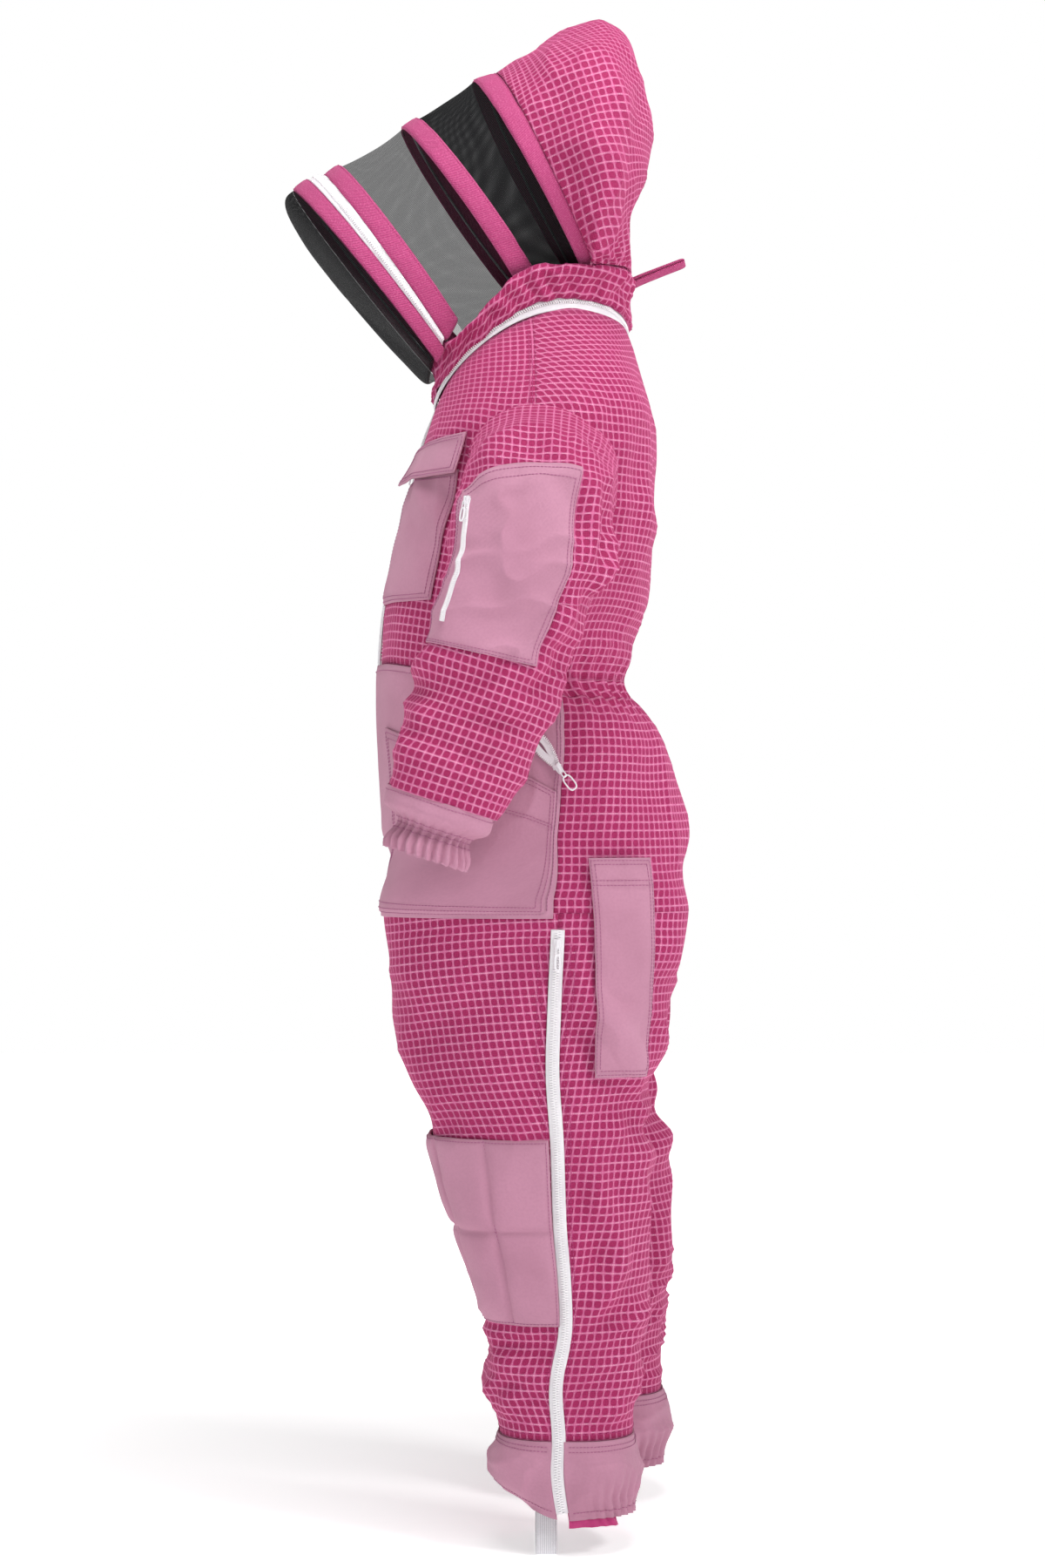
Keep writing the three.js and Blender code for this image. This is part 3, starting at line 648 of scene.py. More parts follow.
# ---------------------------------------------------------------- legs
def leg_folds(side):
    shift = np.array([0, 0 if side > 0 else STRIDE * 0.6, 0])

    def folds(where, u, v):
        spot = (where - shift) * np.array([side, 1, 1])
        z = where[..., 2]
        move = rolling(where, 74, 11 + side) * 9 + ridged(where, 70, (1.1, 1.1, 1.2), 13 + side) * 4.0
        move = move * smoothstep(z, 128, 175)
        low = smoothstep(z, 132, 160) * (1 - smoothstep(z, 250, 330))
        move = move + ridged(where, 46, (1.9, 1.9, .62), 17 + side) * 7.5 * low
        for at, along, length, width, height in (
                ((195, 95, 330), (.1, .5, 1), 90, 15, 8), ((190, 130, 380), (.1, -.35, 1), 110, 16, 9),
                ((188, 140, 300), (.1, .8, 1), 80, 14, 8), ((180, 150, 560), (.1, -.7, 1), 110, 18, 8),
                ((178, 60, 190), (.1, 1, .55), 60, 12, 8), ((175, 110, 165), (.1, 1, -.2), 60, 12, 7),
                ((90, -5, 236), (1, .1, .1), 90, 13, 9), ((110, -12, 180), (1, 0, -.1), 85, 14, 8),
                ((180, 40, 205), (.2, 1, -.45), 70, 13, 7), ((120, 168, 250), (1, .2, .1), 90, 15, 8),
                ((110, 182, 430), (1, 0, .25), 80, 17, 8), ((120, 186, 480), (1, .1, -.2), 80, 16, 7),
                ((175, 120, 455), (.3, 1, .35), 75, 15, 6), ((185, 60, 610), (.1, 1, -.3), 90, 20, 5),
                ((60, -60, 640), (1, .6, .5), 90, 17, 6), ((150, 175, 600), (1, -.6, -.2), 80, 18, 5)):
            move = move + fold(spot, at, along, length, width, height)
        off = np.linalg.norm(where - leg(side, zip_angle(z), z), axis=-1)
        calm = 1 - 0.85 * np.exp(-(off / 24) ** 2)
        hollow = 13 * np.exp(-((z - 492) / 42) ** 2) * smoothstep(where[..., 1], 120, 190)
        move = (move * calm - hollow) * (1 - smoothstep(z, 620, 700))
        return move + seam_dip(u, np.minimum(v, 0.5), 0.014)
    return folds


def leg_surface(side, start, end, low, high):
    """Angles run from the zip. Above the zip's top end the two panels close up."""
    def surface(u, v):
        height = mix(low, high, v)
        closing = 1 - 0.995 * smoothstep(height, 672, 680)
        first, last = (edge * closing if abs(edge) < 4 else edge for edge in (start, end))
        return leg(side, zip_angle(height) + mix(first, last, u), height)
    return surface


for side, name in SIDES:
    for part, start, end in (("front", -176, -2.4), ("back", 2.4, 184)):
        panel(f"leg_{part}_{name}", leg_surface(side, start, end, HEM_SEAM, 702), 84, 86, MESH_CLOTH,
              "garment", leg_folds(side), side=side)

# the quilted knee patches: foam between two layers, sewn through in a grid
QUILT_COLUMNS = (0.0, 0.24, 0.5, 0.76, 1.0)
QUILT_ROWS = (0.0, 0.505, 1.0)


def quilted(where, u, v):
    across = np.min([np.abs(u - c) for c in QUILT_COLUMNS], axis=0) * 250
    up = np.min([np.abs(v - r) for r in QUILT_ROWS], axis=0) * 210
    puff = (1 - np.exp(-across / 4)) * (1 - np.exp(-up / 4))
    return 6.0 * puff + rolling(where, 55, 21) * 2.0 * puff


def knee_surface(side):
    return leg_surface(side, -140, -4.2, 253, 456)


for side, name in SIDES:
    grid, across, up = grid_of(knee_surface(side), 84, 70)
    out = normals_of(grid) * side
    base = leg_folds(side)(grid, np.full_like(across, .5), up * 0 + .5) * 0.45
    grid = grid + out * (base + 2.6 + quilted(grid, across, up))[..., None]
    patch = sheet_from_grid(f"knee_patch_{name}", grid, COTTON_PINK, 3.2, side)
    put(patch, "garment", "plain_cotton", [f"knee_patch_{name}"])


def hem_surface(side):
    def surface(u, v):
        angle = zip_angle(90) + mix(5, 355, u)
        instep = 30 * np.maximum(np.cos(np.radians(angle)), 0) ** 2
        return leg(side, angle, mix(42 + instep, HEM_SEAM, v))
    return surface


def hem_folds(where, u, v):
    behind = smoothstep(np.cos((u - 0.27) * 2 * np.pi), -0.1, 0.7)
    gather = behind * np.exp(-((v - 0.16) / 0.3) ** 2)
    pleats = np.sin(u * 2 * np.pi * 38 + 3 * np.sin(v * 5)) * 2.6 * gather
    waist = -8 * behind * np.exp(-((v - 0.2) / 0.16) ** 2) + 3.5 * np.sin(np.pi * v) \
        - 8 * np.exp(-(v / 0.14) ** 2)
    slack = (rolling(where, 46, 31) * 8 + ridged(where, 40, (1.6, 1.6, .8), 33) * 4.5) \
        * (1 - 0.9 * smoothstep(v, 0.7, 1))
    calm = 1 - np.exp(-(np.minimum(u, 1 - u) * 500 / 15) ** 2)      # flat beside the zip
    return (pleats + waist + slack * (1 - 0.4 * gather)) * calm + 1.2


for side, name in SIDES:
    panel(f"hem_cuff_{name}", hem_surface(side), 260, 26, COTTON_CLOTH, "garment", hem_folds, side=side)


# ---------------------------------------------------------------- sleeves
def sleeve_folds(side):
    def folds(where, u, v):
        spot = where * np.array([side, 1, 1])
        z = where[..., 2]
        move = rolling(where, 62, 41 + side) * 9 + ridged(where, 50, (1.2, 1.2, .75), 43 + side) * 4.2
        move = move * smoothstep(z, 824, 860) * (1 - smoothstep(z, 1200, 1250))
        for at, along, length, width, height in (
                ((305, 85, 1010), (.1, 1, .8), 70, 14, 10), ((308, 55, 962), (.1, 1, .45), 72, 13, 12),
                ((308, 25, 925), (.1, 1, .1), 66, 13, 11), ((300, -10, 893), (.2, 1, -.25), 62, 13, 9),
                ((296, -40, 862), (.2, 1, -.5), 50, 11, 7), ((285, 20, 990), (.1, 1, -.6), 60, 13, 6),
                ((240, 120, 1130), (.3, .4, -1), 80, 15, 10), ((262, 124, 1075), (.5, .3, -1), 66, 14, 10),
                ((300, 108, 1160), (.2, .6, -1), 80, 16, 8), ((260, -25, 1150), (.4, .3, -1), 60, 14, 6),
                ((290, 118, 1110), (.3, .1, -1), 90, 11, 7), ((305, 66, 1205), (.3, .9, -.7), 60, 14, 6),
                ((265, -65, 965), (1, .2, .3), 50, 13, 7), ((265, -75, 925), (1, .1, -.2), 50, 12, 6)):
            move = move + fold(spot, at, along, length, width, height)
        return np.clip(move, -14, 15)
    return folds


SPLIT = 0.62       # where the sleeve's upper and lower lengths meet, on the upper arm
SPLIT_HEIGHT = mix(UNDERARM, 972, (SPLIT - SLEEVE_HEAD) / (1 - SLEEVE_HEAD))


def head_folds(side):
    """The sleeve's folds, with a dip where the sleeve meets the armhole seam."""
    folds = sleeve_folds(side)
    return lambda where, u, v: folds(where, u, v) - 1.5 * np.exp(-((v - 1) / 0.03) ** 2)


for side, name in SIDES:
    upper = panel(f"sleeve_upper_{name}",
                  lambda u, v, s=side: sleeve(s, 270 + 360 * u, mix(0, SPLIT, 1 - v)), 90, 62,
                  MESH_CLOTH, None, head_folds(side), side=side, wrap=True)
    lower = panel(f"sleeve_lower_{name}",
                  lambda u, v, s=side: lower_sleeve(s, 270 + 360 * u, mix(822, SPLIT_HEIGHT, v)), 90,
                  44, MESH_CLOTH, None, sleeve_folds(side), side=side, wrap=True,
                  stands_for=[f"sleeve_elbow_{name}", f"sleeve_lower_{name}"])
    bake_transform(upper)
    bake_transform(lower)


def cuff_surface(side):
    return lambda u, v: lower_sleeve(side, 270 + 360 * u, mix(764, 823, v))


def cuff_folds(where, u, v):
    gather = np.exp(-((v - 0.42) / 0.2) ** 2)
    ruffle = 1 - smoothstep(v, 0.1, 0.5)
    pleats = np.sin(u * 2 * np.pi * 26 + 2 * np.sin(v * 6)) * (1.6 * gather + 3.4 * ruffle)
    puff = 6 * np.exp(-((v - 0.75) / 0.16) ** 2)
    return pleats - 7 * gather + 7 * ruffle + puff + rolling(where, 26, 51) * 4 * (1 - gather) - 1.5


for side, name in SIDES:
    panel(f"sleeve_cuff_{name}", cuff_surface(side), 240, 26, COTTON_CLOTH, f"forearm_{name}",
          cuff_folds, side=side, wrap=True)


# ---------------------------------------------------------------- hood
# Each hoop: its top and its lower ends, as (y, z).
HOOPS = {
    "crown": ((10, 1654), (119, 1428)), "rear": ((-18, 1646), (101, 1428)),
    "middle_back": ((-81, 1603), (49, 1425)), "middle_front": ((-100, 1591), (28, 1411)),
    "front_back": ((-169, 1549), (-35, 1367)), "front_front": ((-189, 1537), (-49, 1342)),
    "zip_front": ((-205, 1533), (-50, 1334)), "nose_front": ((-223, 1520), (-59, 1318))}


# Each band lies between two hoops' lines, on one body.
BANDS = (("rear", "crown", "rear", "hood"), ("middle", "middle_back", "middle_front", "hood"),
         ("front", "front_back", "front_front", "hood"), ("nose", "zip_front", "nose_front", "veil_front"))


def hoop_point(back, front, t, turn):
    """A point between two hoops, t from 0 at the back one to 1. turn is from the top."""
    drop = (1 - np.cos(np.radians(turn))) / (1 - math.cos(math.radians(HOOP_SWEEP)))
    (ty, tz), (ey, ez) = (mix(np.array(HOOPS[back][k])[:, None, None], np.array(HOOPS[front][k])
                              [:, None, None], np.atleast_2d(t)) for k in (0, 1))
    shape = np.broadcast(turn, t).shape
    place = points(VEIL_HALF_WIDTH * np.sin(np.radians(turn)), mix(ty, ey, drop), mix(tz, ez, drop))
    return place.reshape(shape + (3,))


def hood_strip(back, front, low=0.0, high=1.0, sweep=HOOP_SWEEP):
    return lambda u, v: hoop_point(back, front, mix(low, high, v), mix(-sweep, sweep, u))


def band_shape(where, u, v):
    """A tape band: rounded over the wire inside, sewn down and a little uneven at its edges."""
    round_top = 3.4 * (1 - (2 * v - 1) ** 4)
    return round_top + rolling(where, 24, 61) * 1.6 + ridged(where, 15, (1, 1, 1), 62) * 0.35 - 1.0


def mesh_shape(where, u, v):
    """Netting held between two hoops draws in between them."""
    slack = 4 * v * (1 - v)
    return -3.5 * slack + rolling(where, 90, 63) * 3 * slack


for part, back, front, body in BANDS:
    panel(f"band_{part}", hood_strip(back, front, sweep=138), 170, 14, BAND_TAPE, body, band_shape,
          side=-1)
panel("mesh_rear", hood_strip("rear", "middle_back", -.04, 1.04, 152), 90, 16, CLOSE_NET, "hood",
      mesh_shape, lift=-1, side=-1)
panel("mesh_middle", hood_strip("middle_front", "front_back", -.04, 1.04, 152), 90, 18, NET, "hood",
      mesh_shape, lift=-1, side=-1)

CHIN = (-67, 1304)
DISH_DEPTH = 29


def dish(u, v):
    turn = np.where(360 * u > 180, 360 * u - 360, 360 * u)
    inner = np.clip(np.abs(turn), 0, HOOP_SWEEP)
    rim = hoop_point("nose_front", "nose_front", 0.0, np.sign(turn) * inner)
    t = smoothstep(np.abs(turn), HOOP_SWEEP, 180)
    rim[..., 0] = VEIL_HALF_WIDTH * np.sin(np.radians(turn))
    rim[..., 1] = mix(rim[..., 1], CHIN[0], t)
    rim[..., 2] = mix(rim[..., 2], CHIN[1], t)
    top = HOOPS["nose_front"][0]
    middle = np.array([0, (top[0] + CHIN[0]) / 2, (top[1] + CHIN[1]) / 2])
    forward = np.array([0, -0.79, -0.61])
    grow = np.radians(90 * v)[..., None]
    place = mix(rim + forward * 0.5, middle, 1 - np.cos(grow))
    fall = np.clip((top[1] - place[..., 2:]) / (top[1] - CHIN[1]), 0, 1)
    return place + forward * DISH_DEPTH * (1.05 - 0.65 * fall) * np.sin(grow) ** 0.6


def dish_shape(where, u, v):
    return rolling(where, 70, 65) * 2.5 * (4 * v * (1 - v)) + 0.5


panel("mesh_nose", dish, 96, 34, CLOSE_NET, "veil_front", dish_shape, side=-1, wrap=True)

# the middle line of the crown, from the rear hoop over the peak to the nape, as (y, z)
CROWN_LINE = np.array([(10, 1654), (62, 1688), (119, 1717), (146, 1711), (163, 1692), (178, 1644),
                       (181, 1584), (175, 1532), (157, 1497), (150, 1472), (157, 1424)], float)
COLLAR_SIZE = (52, 111, 104)      # middle y, half depth and half width of the collar's top


def neck_ring(angle, rise):
    return torso(angle, np.full(np.shape(angle), float(NECK))) + points(0 * angle, 0 * angle, rise)


def collar_top(angle):
    out, ahead = round_square(angle, 4)
    y = COLLAR_SIZE[0] - ahead * COLLAR_SIZE[1]
    return points(COLLAR_SIZE[2] * out, y, mix(1336, 1423, smoothstep(y, -55, 60)))


def crown(u, v):
    across = 2 * u - 1
    spread = np.abs(across)
    rim = hoop_point("crown", "crown", 0.0, HOOP_SWEEP * across)
    end = collar_top(180 - 59 * across)
    steps = distances(CROWN_LINE)
    fine = np.linspace(0, 1, 200)
    line = np.stack([np.interp(fine, steps / steps[-1], CROWN_LINE[:, k]) for k in (0, 1)], -1)
    for _ in range(60):                    # rounds the corners of the line
        line[1:-1] = (line[:-2] + 2 * line[1:-1] + line[2:]) / 4
    chord = line[-1] - line[0]
    length = np.linalg.norm(chord)
    chord = chord / length
    rel = line - line[0]
    run = np.interp(v, fine, rel @ chord / length)
    rise = np.interp(v, fine, rel @ np.array([-chord[1], chord[0]]))
    run = mix(run, v, smoothstep(spread, 0, 0.8))
    size = np.clip(1.12 - np.sqrt(spread ** 2 + 0.0144), 0, 1) ** 1.2
    lean = np.radians(85 * spread ** 0.95)
    out = points(np.sin(lean) * np.sign(across), -chord[1] * np.cos(lean), chord[0] * np.cos(lean))
    return rim + (end - rim) * run[..., None] + out * (rise * size)[..., None]


def crown_folds(where, u, v):
    across = np.abs(2 * u - 1)
    nape = smoothstep(v, 0.72, 0.93) * (1 - smoothstep(v, 0.96, 1))
    gathers = np.sin(u * 2 * np.pi * 17 + 2 * np.sin(v * 7)) * 2.6 * nape
    slack = rolling(where, 66, 71) * 7 + ridged(where, 52, (1.2, 1, 1.2), 73) * 3.2
    free = smoothstep(v, 0, 0.1) * (1 - smoothstep(v, 0.9, 1)) * (1 - smoothstep(across, 0.85, 1))
    return gathers + slack * free + 1.5


def collar(u, v):
    angle = 360 * u
    low = neck_ring(angle, 9)
    place = mix(low, collar_top(angle), v[..., None])
    place[..., 0] += 9 * np.sin(np.pi * v) * np.sin(np.radians(angle))
    return place


def collar_folds(where, u, v):
    ruffle = np.sin(u * 2 * np.pi * 27 + 2.4 * np.sin(v * 4 + u * 20)) * 2.8
    lip = 5.5 * np.exp(-((v - 0.1) / 0.16) ** 2) + 4.5 * np.exp(-((v - 0.8) / 0.16) ** 2)
    return (ruffle * (0.35 + 0.65 * np.sin(np.pi * np.clip(v, 0, 1))) + lip
            + ridged(where, 26, (1, 1, 1), 75) * 2.2 - 4 * np.exp(-((v - 0.98) / 0.05) ** 2))


def crown_weave(grid):
    """The crown is cut as two side halves: its rows run level with the rear hoop's plane as
    seen from the side, and go on round the back and over the top."""
    away = grid[..., 1:] - np.array([70, 1530])
    away = away / np.maximum(np.linalg.norm(away, axis=-1, keepdims=True), 30)
    back, up = np.moveaxis(grid[..., 1:] + away * 0.85 * np.maximum(0, 112 - np.abs(grid[..., :1])), -1, 0)
    return 0.96 * back + 0.28 * up, 0.96 * up - 0.28 * back


panel("hood_crown", crown, 110, 84, MESH_CLOTH, "hood", crown_folds, side=1, measure=crown_weave)
panel("hood_collar", collar, 260, 26, MESH_CLOTH, "hood", collar_folds, side=1, wrap=True)


# ---------------------------------------------------------------- zips, stitches and small parts
def run_of(surface, u, v, lift=0.0, side=1):
    """A line on a surface, as points and outward normals. u and v are arrays of one length."""
    e = 1e-3
    place = surface(np.atleast_2d(u), np.atleast_2d(v))[0]
    across = (surface(np.atleast_2d(u + e), np.atleast_2d(v)) -
              surface(np.atleast_2d(u - e), np.atleast_2d(v)))[0]
    up = (surface(np.atleast_2d(u), np.atleast_2d(v + e)) -
          surface(np.atleast_2d(u), np.atleast_2d(v - e)))[0]
    normal = unit(np.cross(across, up) * side)
    return place + normal * lift, normal


def along_run(run, pitch, phase=0.5):
    """Points every pitch mm along a run, each with its direction, normal and sideways."""
    place, normal = run
    steps = distances(place)
    stops = np.arange(phase * pitch, steps[-1], pitch)
    spot = np.stack([np.interp(stops, steps, place[:, k]) for k in range(3)], -1)
    ahead = np.stack([np.interp(stops + 1, steps, place[:, k]) for k in range(3)], -1) - \
        np.stack([np.interp(stops - 1, steps, place[:, k]) for k in range(3)], -1)
    ahead = unit(ahead)
    out = np.stack([np.interp(stops, steps, normal[:, k]) for k in range(3)], -1)
    out = unit(out - (out * ahead).sum(-1, keepdims=True) * ahead)
    return spot, ahead, out, np.cross(ahead, out)


def frame_at(spot, right, ahead, out, size):
    """The matrix that puts a unit cube at a spot in mm, with its sides along three directions."""
    columns = [Vector(d) * (s * MM) for d, s in zip((right, ahead, out), size)]
    matrix = Matrix.Identity(4)
    for k in range(3):
        for row in range(3):
            matrix[row][k] = columns[k][row]
    matrix.translation = Vector(spot) * MM
    return matrix


def small_boxes(name, places, material, bevel, body, slot_name, replaced=()):
    """Many small bevelled boxes in one piece: teeth or stitches. places holds matrices."""
    bm = bmesh.new()
    for matrix in places:
        bmesh.ops.create_cube(bm, size=1.0, matrix=matrix)
    bmesh.ops.bevel(bm, geom=bm.edges[:], offset=bevel * MM, affect="EDGES", segments=1,
                    profile=0.5, material=-1)
    obj = finish_mesh(name, bm, material)
    if body:
        put(obj, body, slot_name, replaced)
    return obj


def tooth_row(run, pitch, reach, shift, phase):
    """One half of a zip: blocks that reach across the middle line in turn."""
    spot, ahead, out, right = along_run(run, pitch, phase)
    return [frame_at(s + r * shift, r, a, o, (reach, pitch * 0.5, 2.2))
            for s, a, o, r in zip(spot, ahead, out, right)]


def stitches(name, runs, body, slot_name, material=None, length=2.9, gap=1.1, width=0.75):
    """Sewing thread along runs: short rounded stitches, each dipping into the cloth."""
    places = []
    for run in runs:
        for s, a, o, r in zip(*along_run(run, length + gap)):
            places.append(frame_at(s, r, a, o, (width, length, 0.8)))
    return small_boxes(name, places, material or THREAD_PINK_SEAM_SHADED, 0.22, body, slot_name)


def tape_strip(name, run, width, thickness, body, slot_name, replaced, material=None, shift=0.0):
    """A woven tape along a run, laid flat on the surface."""
    place, normal = run
    right = np.cross(unit(np.gradient(place, axis=0)), normal)
    offsets = np.linspace(-0.5, 0.5, 9)
    grid = np.stack([place + right * (shift + width * o) + normal * (-0.5 * (2 * o) ** 4)
                     for o in offsets], 1)
    obj = sheet_from_grid(name, grid, material or ZIP_TAPE, thickness, 1)
    put(obj, body, slot_name, replaced)
    length = float(distances(place)[-1]) * MM
    return obj


def zip_slider(name, spot, out, up, body, replaced, ring=False, size=1.0):
    """A slider with its bridge and a hanging pull, at a spot in mm on the zip's surface."""
    out = unit(out)
    up = np.asarray(up, float)
    up = unit(up - out * (up @ out))
    right = np.cross(up, out)
    bm = bmesh.new()

    def block(middle, box, bevel, taper=1.0):
        at = np.asarray(spot, float) + right * middle[0] + up * middle[1] + out * middle[2]
        made = bmesh.ops.create_cube(bm, size=1.0, matrix=frame_at(at, right, up, out, box))
        low = [v for v in made["verts"] if (np.array(v.co) / MM - at) @ up < 0]
        for vert in low:
            off = (np.array(vert.co) / MM - at) @ right
            vert.co -= Vector(right) * (off * (1 - taper) * MM)
        edges = list({e for v in made["verts"] for e in v.link_edges})
        bmesh.ops.bevel(bm, geom=edges, offset=bevel * MM, affect="EDGES", segments=3,
                        profile=0.5, material=-1)

    k = size
    block((0, 0, 1.6 * k), (8.6 * k, 11.5 * k, 1.5 * k), 0.6, 0.72)
    block((0, 0, -1.4 * k), (8.6 * k, 11.5 * k, 1.2 * k), 0.5, 0.72)
    block((0, 4.4 * k, 0.1 * k), (2.4 * k, 2.4 * k, 3.2 * k), 0.3)
    # the bridge that the pull hangs from
    block((0, 4.2 * k, 3.0 * k), (2.2 * k, 1.6 * k, 2.4 * k), 0.4)
    block((0, -3.8 * k, 3.0 * k), (2.2 * k, 1.6 * k, 2.4 * k), 0.4)
    block((0, 0.2 * k, 4.3 * k), (2.2 * k, 9.6 * k, 1.0 * k), 0.4)

    def frame_plate(middle, length, wide, thick, hole, sharp):
        """A flat pull: an outline with a hole, extruded and bevelled."""
        loops = []
        for grow in (1.0, hole):
            ring_verts = []
            for step in range(28):
                a = 2 * math.pi * step / 28
                c, s = math.cos(a), math.sin(a)
                p = 2 / sharp
                x = wide / 2 * grow * abs(c) ** p * math.copysign(1, c)
                y = (length / 2 - (1 - grow) * wide / 2) * abs(s) ** p * math.copysign(1, s)
                at = np.asarray(spot, float) + right * (middle[0] + x) + up * (middle[1] + y) \
                    + out * middle[2]
                ring_verts.append(bm.verts.new(Vector(at) * MM))
            loops.append([bm.edges.new((ring_verts[i], ring_verts[(i + 1) % 28])) for i in range(28)])
        faces = bmesh.ops.bridge_loops(bm, edges=loops[0] + loops[1])["faces"]
        for face in faces:
            face.normal_update()
            if face.normal.dot(Vector(out)) < 0:
                face.normal_flip()
        made = bmesh.ops.extrude_face_region(bm, geom=faces)["geom"]
        lifted = [g for g in made if isinstance(g, bmesh.types.BMVert)]
        bmesh.ops.translate(bm, vec=Vector(out) * (thick * MM), verts=lifted)
        for face in faces:
            if face.is_valid:
                face.normal_flip()
        sharp_edges = [e for e in {e for f in made if isinstance(f, bmesh.types.BMFace) for e in f.edges}
                       if len(e.link_faces) == 2 and e.calc_face_angle(0) > 0.8]
        bmesh.ops.bevel(bm, geom=sharp_edges, offset=0.3 * MM, affect="EDGES", segments=2,
                        profile=0.5, material=-1)

    frame_plate((0, -6.8 * k, 3.6 * k), 11 * k, 5.4 * k, 1.1 * k, 0.55, 4)
    frame_plate((0, -19.5 * k, 3.2 * k), 19 * k, (11 if ring else 7.5) * k, 1.6 * k,
                0.72 if ring else 0.42, 3)
    bmesh.ops.recalc_face_normals(bm, faces=bm.faces[:])
    obj = finish_mesh(name, bm, SLIDER_WHITE)
    put(obj, body, "zip_slider", replaced)
    return obj


def zip_teeth(name, run, rise, pitch, reach, shift, bevel, body):
    """Both rows of a closed zip's teeth, standing above its tape by rise."""
    row = (run[0] + run[1] * rise, run[1])
    places = tooth_row(row, pitch, reach, shift, 0.25) + tooth_row(row, pitch, reach, -shift, 0.75)
    small_boxes(name, places, ZIP_WHITE, bevel, body, "zip_chain")
    return row


def line(surface, start, end, lift=0.6, side=1, count=60, follow=None):
    """A straight line in a surface's u and v, from start to end, as a run."""
    t = np.linspace(0, 1, count)
    u, v = mix(start[0], end[0], t), mix(start[1], end[1], t)
    place, normal = run_of(surface, u, v, 0.0, side)
    move = follow(place[None], u[None], v[None])[0] if follow else 0
    return place + normal * (np.atleast_1d(move) + lift)[:, None], normal


def outline(surface, inset, lift, side, follow):
    """Runs along the edges of a patch, inset by (u, v) shares."""
    a, b = inset
    corners = [(a, 1 - b), (a, b), (1 - a, b), (1 - a, 1 - b)]
    return [line(surface, corners[k], corners[(k + 1) % 4], lift, side, 70, follow) for k in range(4)]


def patch(name, surface, columns, rows, lift, side, body, follow, puff, insets, thickness=1.8,
          top_hem=0.0, stands_for=None):
    """A cotton patch sewn on a panel: it follows the panel's folds, puffs between its edges,
    and has a turned hem and rows of stitching at each inset."""
    def shape(where, u, v):
        edge = np.minimum(np.minimum(u, 1 - u) * 3.2, np.minimum(v, 1 - v) * 3.2)
        rise = puff * (1 - np.exp(-edge / 0.25)) + rolling(where, 38, 81) * puff * 0.5
        hem = 0.9 * (1 - smoothstep(1 - v, top_hem, top_hem + 0.02)) if top_hem else 0.0
        return follow(where, u * 0 + 0.5, v * 0 + 0.5) + rise + hem + lift

    panel(name, surface, columns, rows, (COTTON_PINK, thickness, "plain_cotton"), body, shape,
          side=side, stands_for=stands_for)
    runs = []
    for inset in insets:
        runs += outline(surface, inset, 0.35, side, shape)
    if top_hem:
        for drop in (top_hem, top_hem - 0.022):
            runs.append(line(surface, (0.01, 1 - drop), (0.99, 1 - drop), 0.35, side, 60, shape))
    stitches(f"{name}_stitches", runs, body, "plain_cotton")
    return shape


def torso_patch(start, end, low, high, side=1):
    return lambda u, v: torso(side * mix(start, end, u), mix(low, high, v))


# ---- chest pocket and its flap ----
chest_surface = torso_patch(19, 56, 1045, 1192)
patch("chest_pocket", chest_surface, 60, 60, 2.8, 1, "garment", torso_folds, 3.5,
      [(.025, .02), (.07, .05)])
flap_surface = torso_patch(17, 58, 1186, 1239)


def flap_shape(where, u, v):
    return (torso_folds(where, u * 0 + .5, v * 0 + .5) * 0.5 + 5.4 + 8.5 * (1 - v) ** 1.4
            + 3.0 * (1 - v) ** 2 * np.exp(-(u / 0.2) ** 2)
            + rolling(where, 45, 83) * 2.2 * (1 - v) - 1.2 * smoothstep(v, 0.85, 1))


panel("chest_flap", flap_surface, 60, 26, (COTTON_PINK, 2.4, "plain_cotton"), "flap", flap_shape)
flap_rows = [outline(flap_surface, inset, 0.4, 1, flap_shape) for inset in ((.022, .05), (.06, .13))]
stitches("chest_flap_stitches", flap_rows[0] + flap_rows[1], "flap", "plain_cotton")

# ---- tool pocket on the left thigh ----
def tool_surface(u, v):
    height = mix(523, 762, v)
    angle = mix(mix(18, 10.5, v), mix(44, 33.5, v), u)
    return leg(1, zip_angle(height) + angle, height)


def tool_follow(where, u, v):
    z = where[..., 2]
    return np.maximum(leg_folds(1)(where, u, v), hip_folds(where, u, v) * smoothstep(z, 690, 720))


patch("tool_pocket", tool_surface, 44, 84, 4.4, 1, "garment", tool_follow, 3.0,
      [(.03, .012), (.085, .03)], top_hem=0.125)

# ---- the zipped pocket on the left sleeve ----
def pocket_surface(u, v):
    return sleeve(1, mix(mix(18, 30, v), mix(120, 124, v), u), mix(0.985, 0.18, v))


sleeve_shape = patch("sleeve_pocket", pocket_surface, 90, 90, 3.0, 1, "arm_left", sleeve_folds(1), 3.2,
                     [(.016, .012), (.045, .035)])


def sleeve_zip_line(lift):
    """Down the pocket's front part, bending back a little halfway."""
    t = np.linspace(0, 1, 90)
    u = 0.13 + 0.07 * t - 0.02 * np.sin(t * np.pi)
    v = mix(0.94, 0.21, t)
    place, normal = run_of(pocket_surface, u, v, 0.0, 1)
    move = sleeve_shape(place[None], u[None], v[None])[0]
    return place + normal * (move + lift)[:, None], normal


tape_strip("sleeve_pocket_zip", sleeve_zip_line(0.7), 6.5, 0.9, "arm_left", "zip_chain", [])
zip_teeth("sleeve_pocket_zip_teeth", sleeve_zip_line(1.4), 0, 2.0, 2.9, 0.9, 0.25, "arm_left")

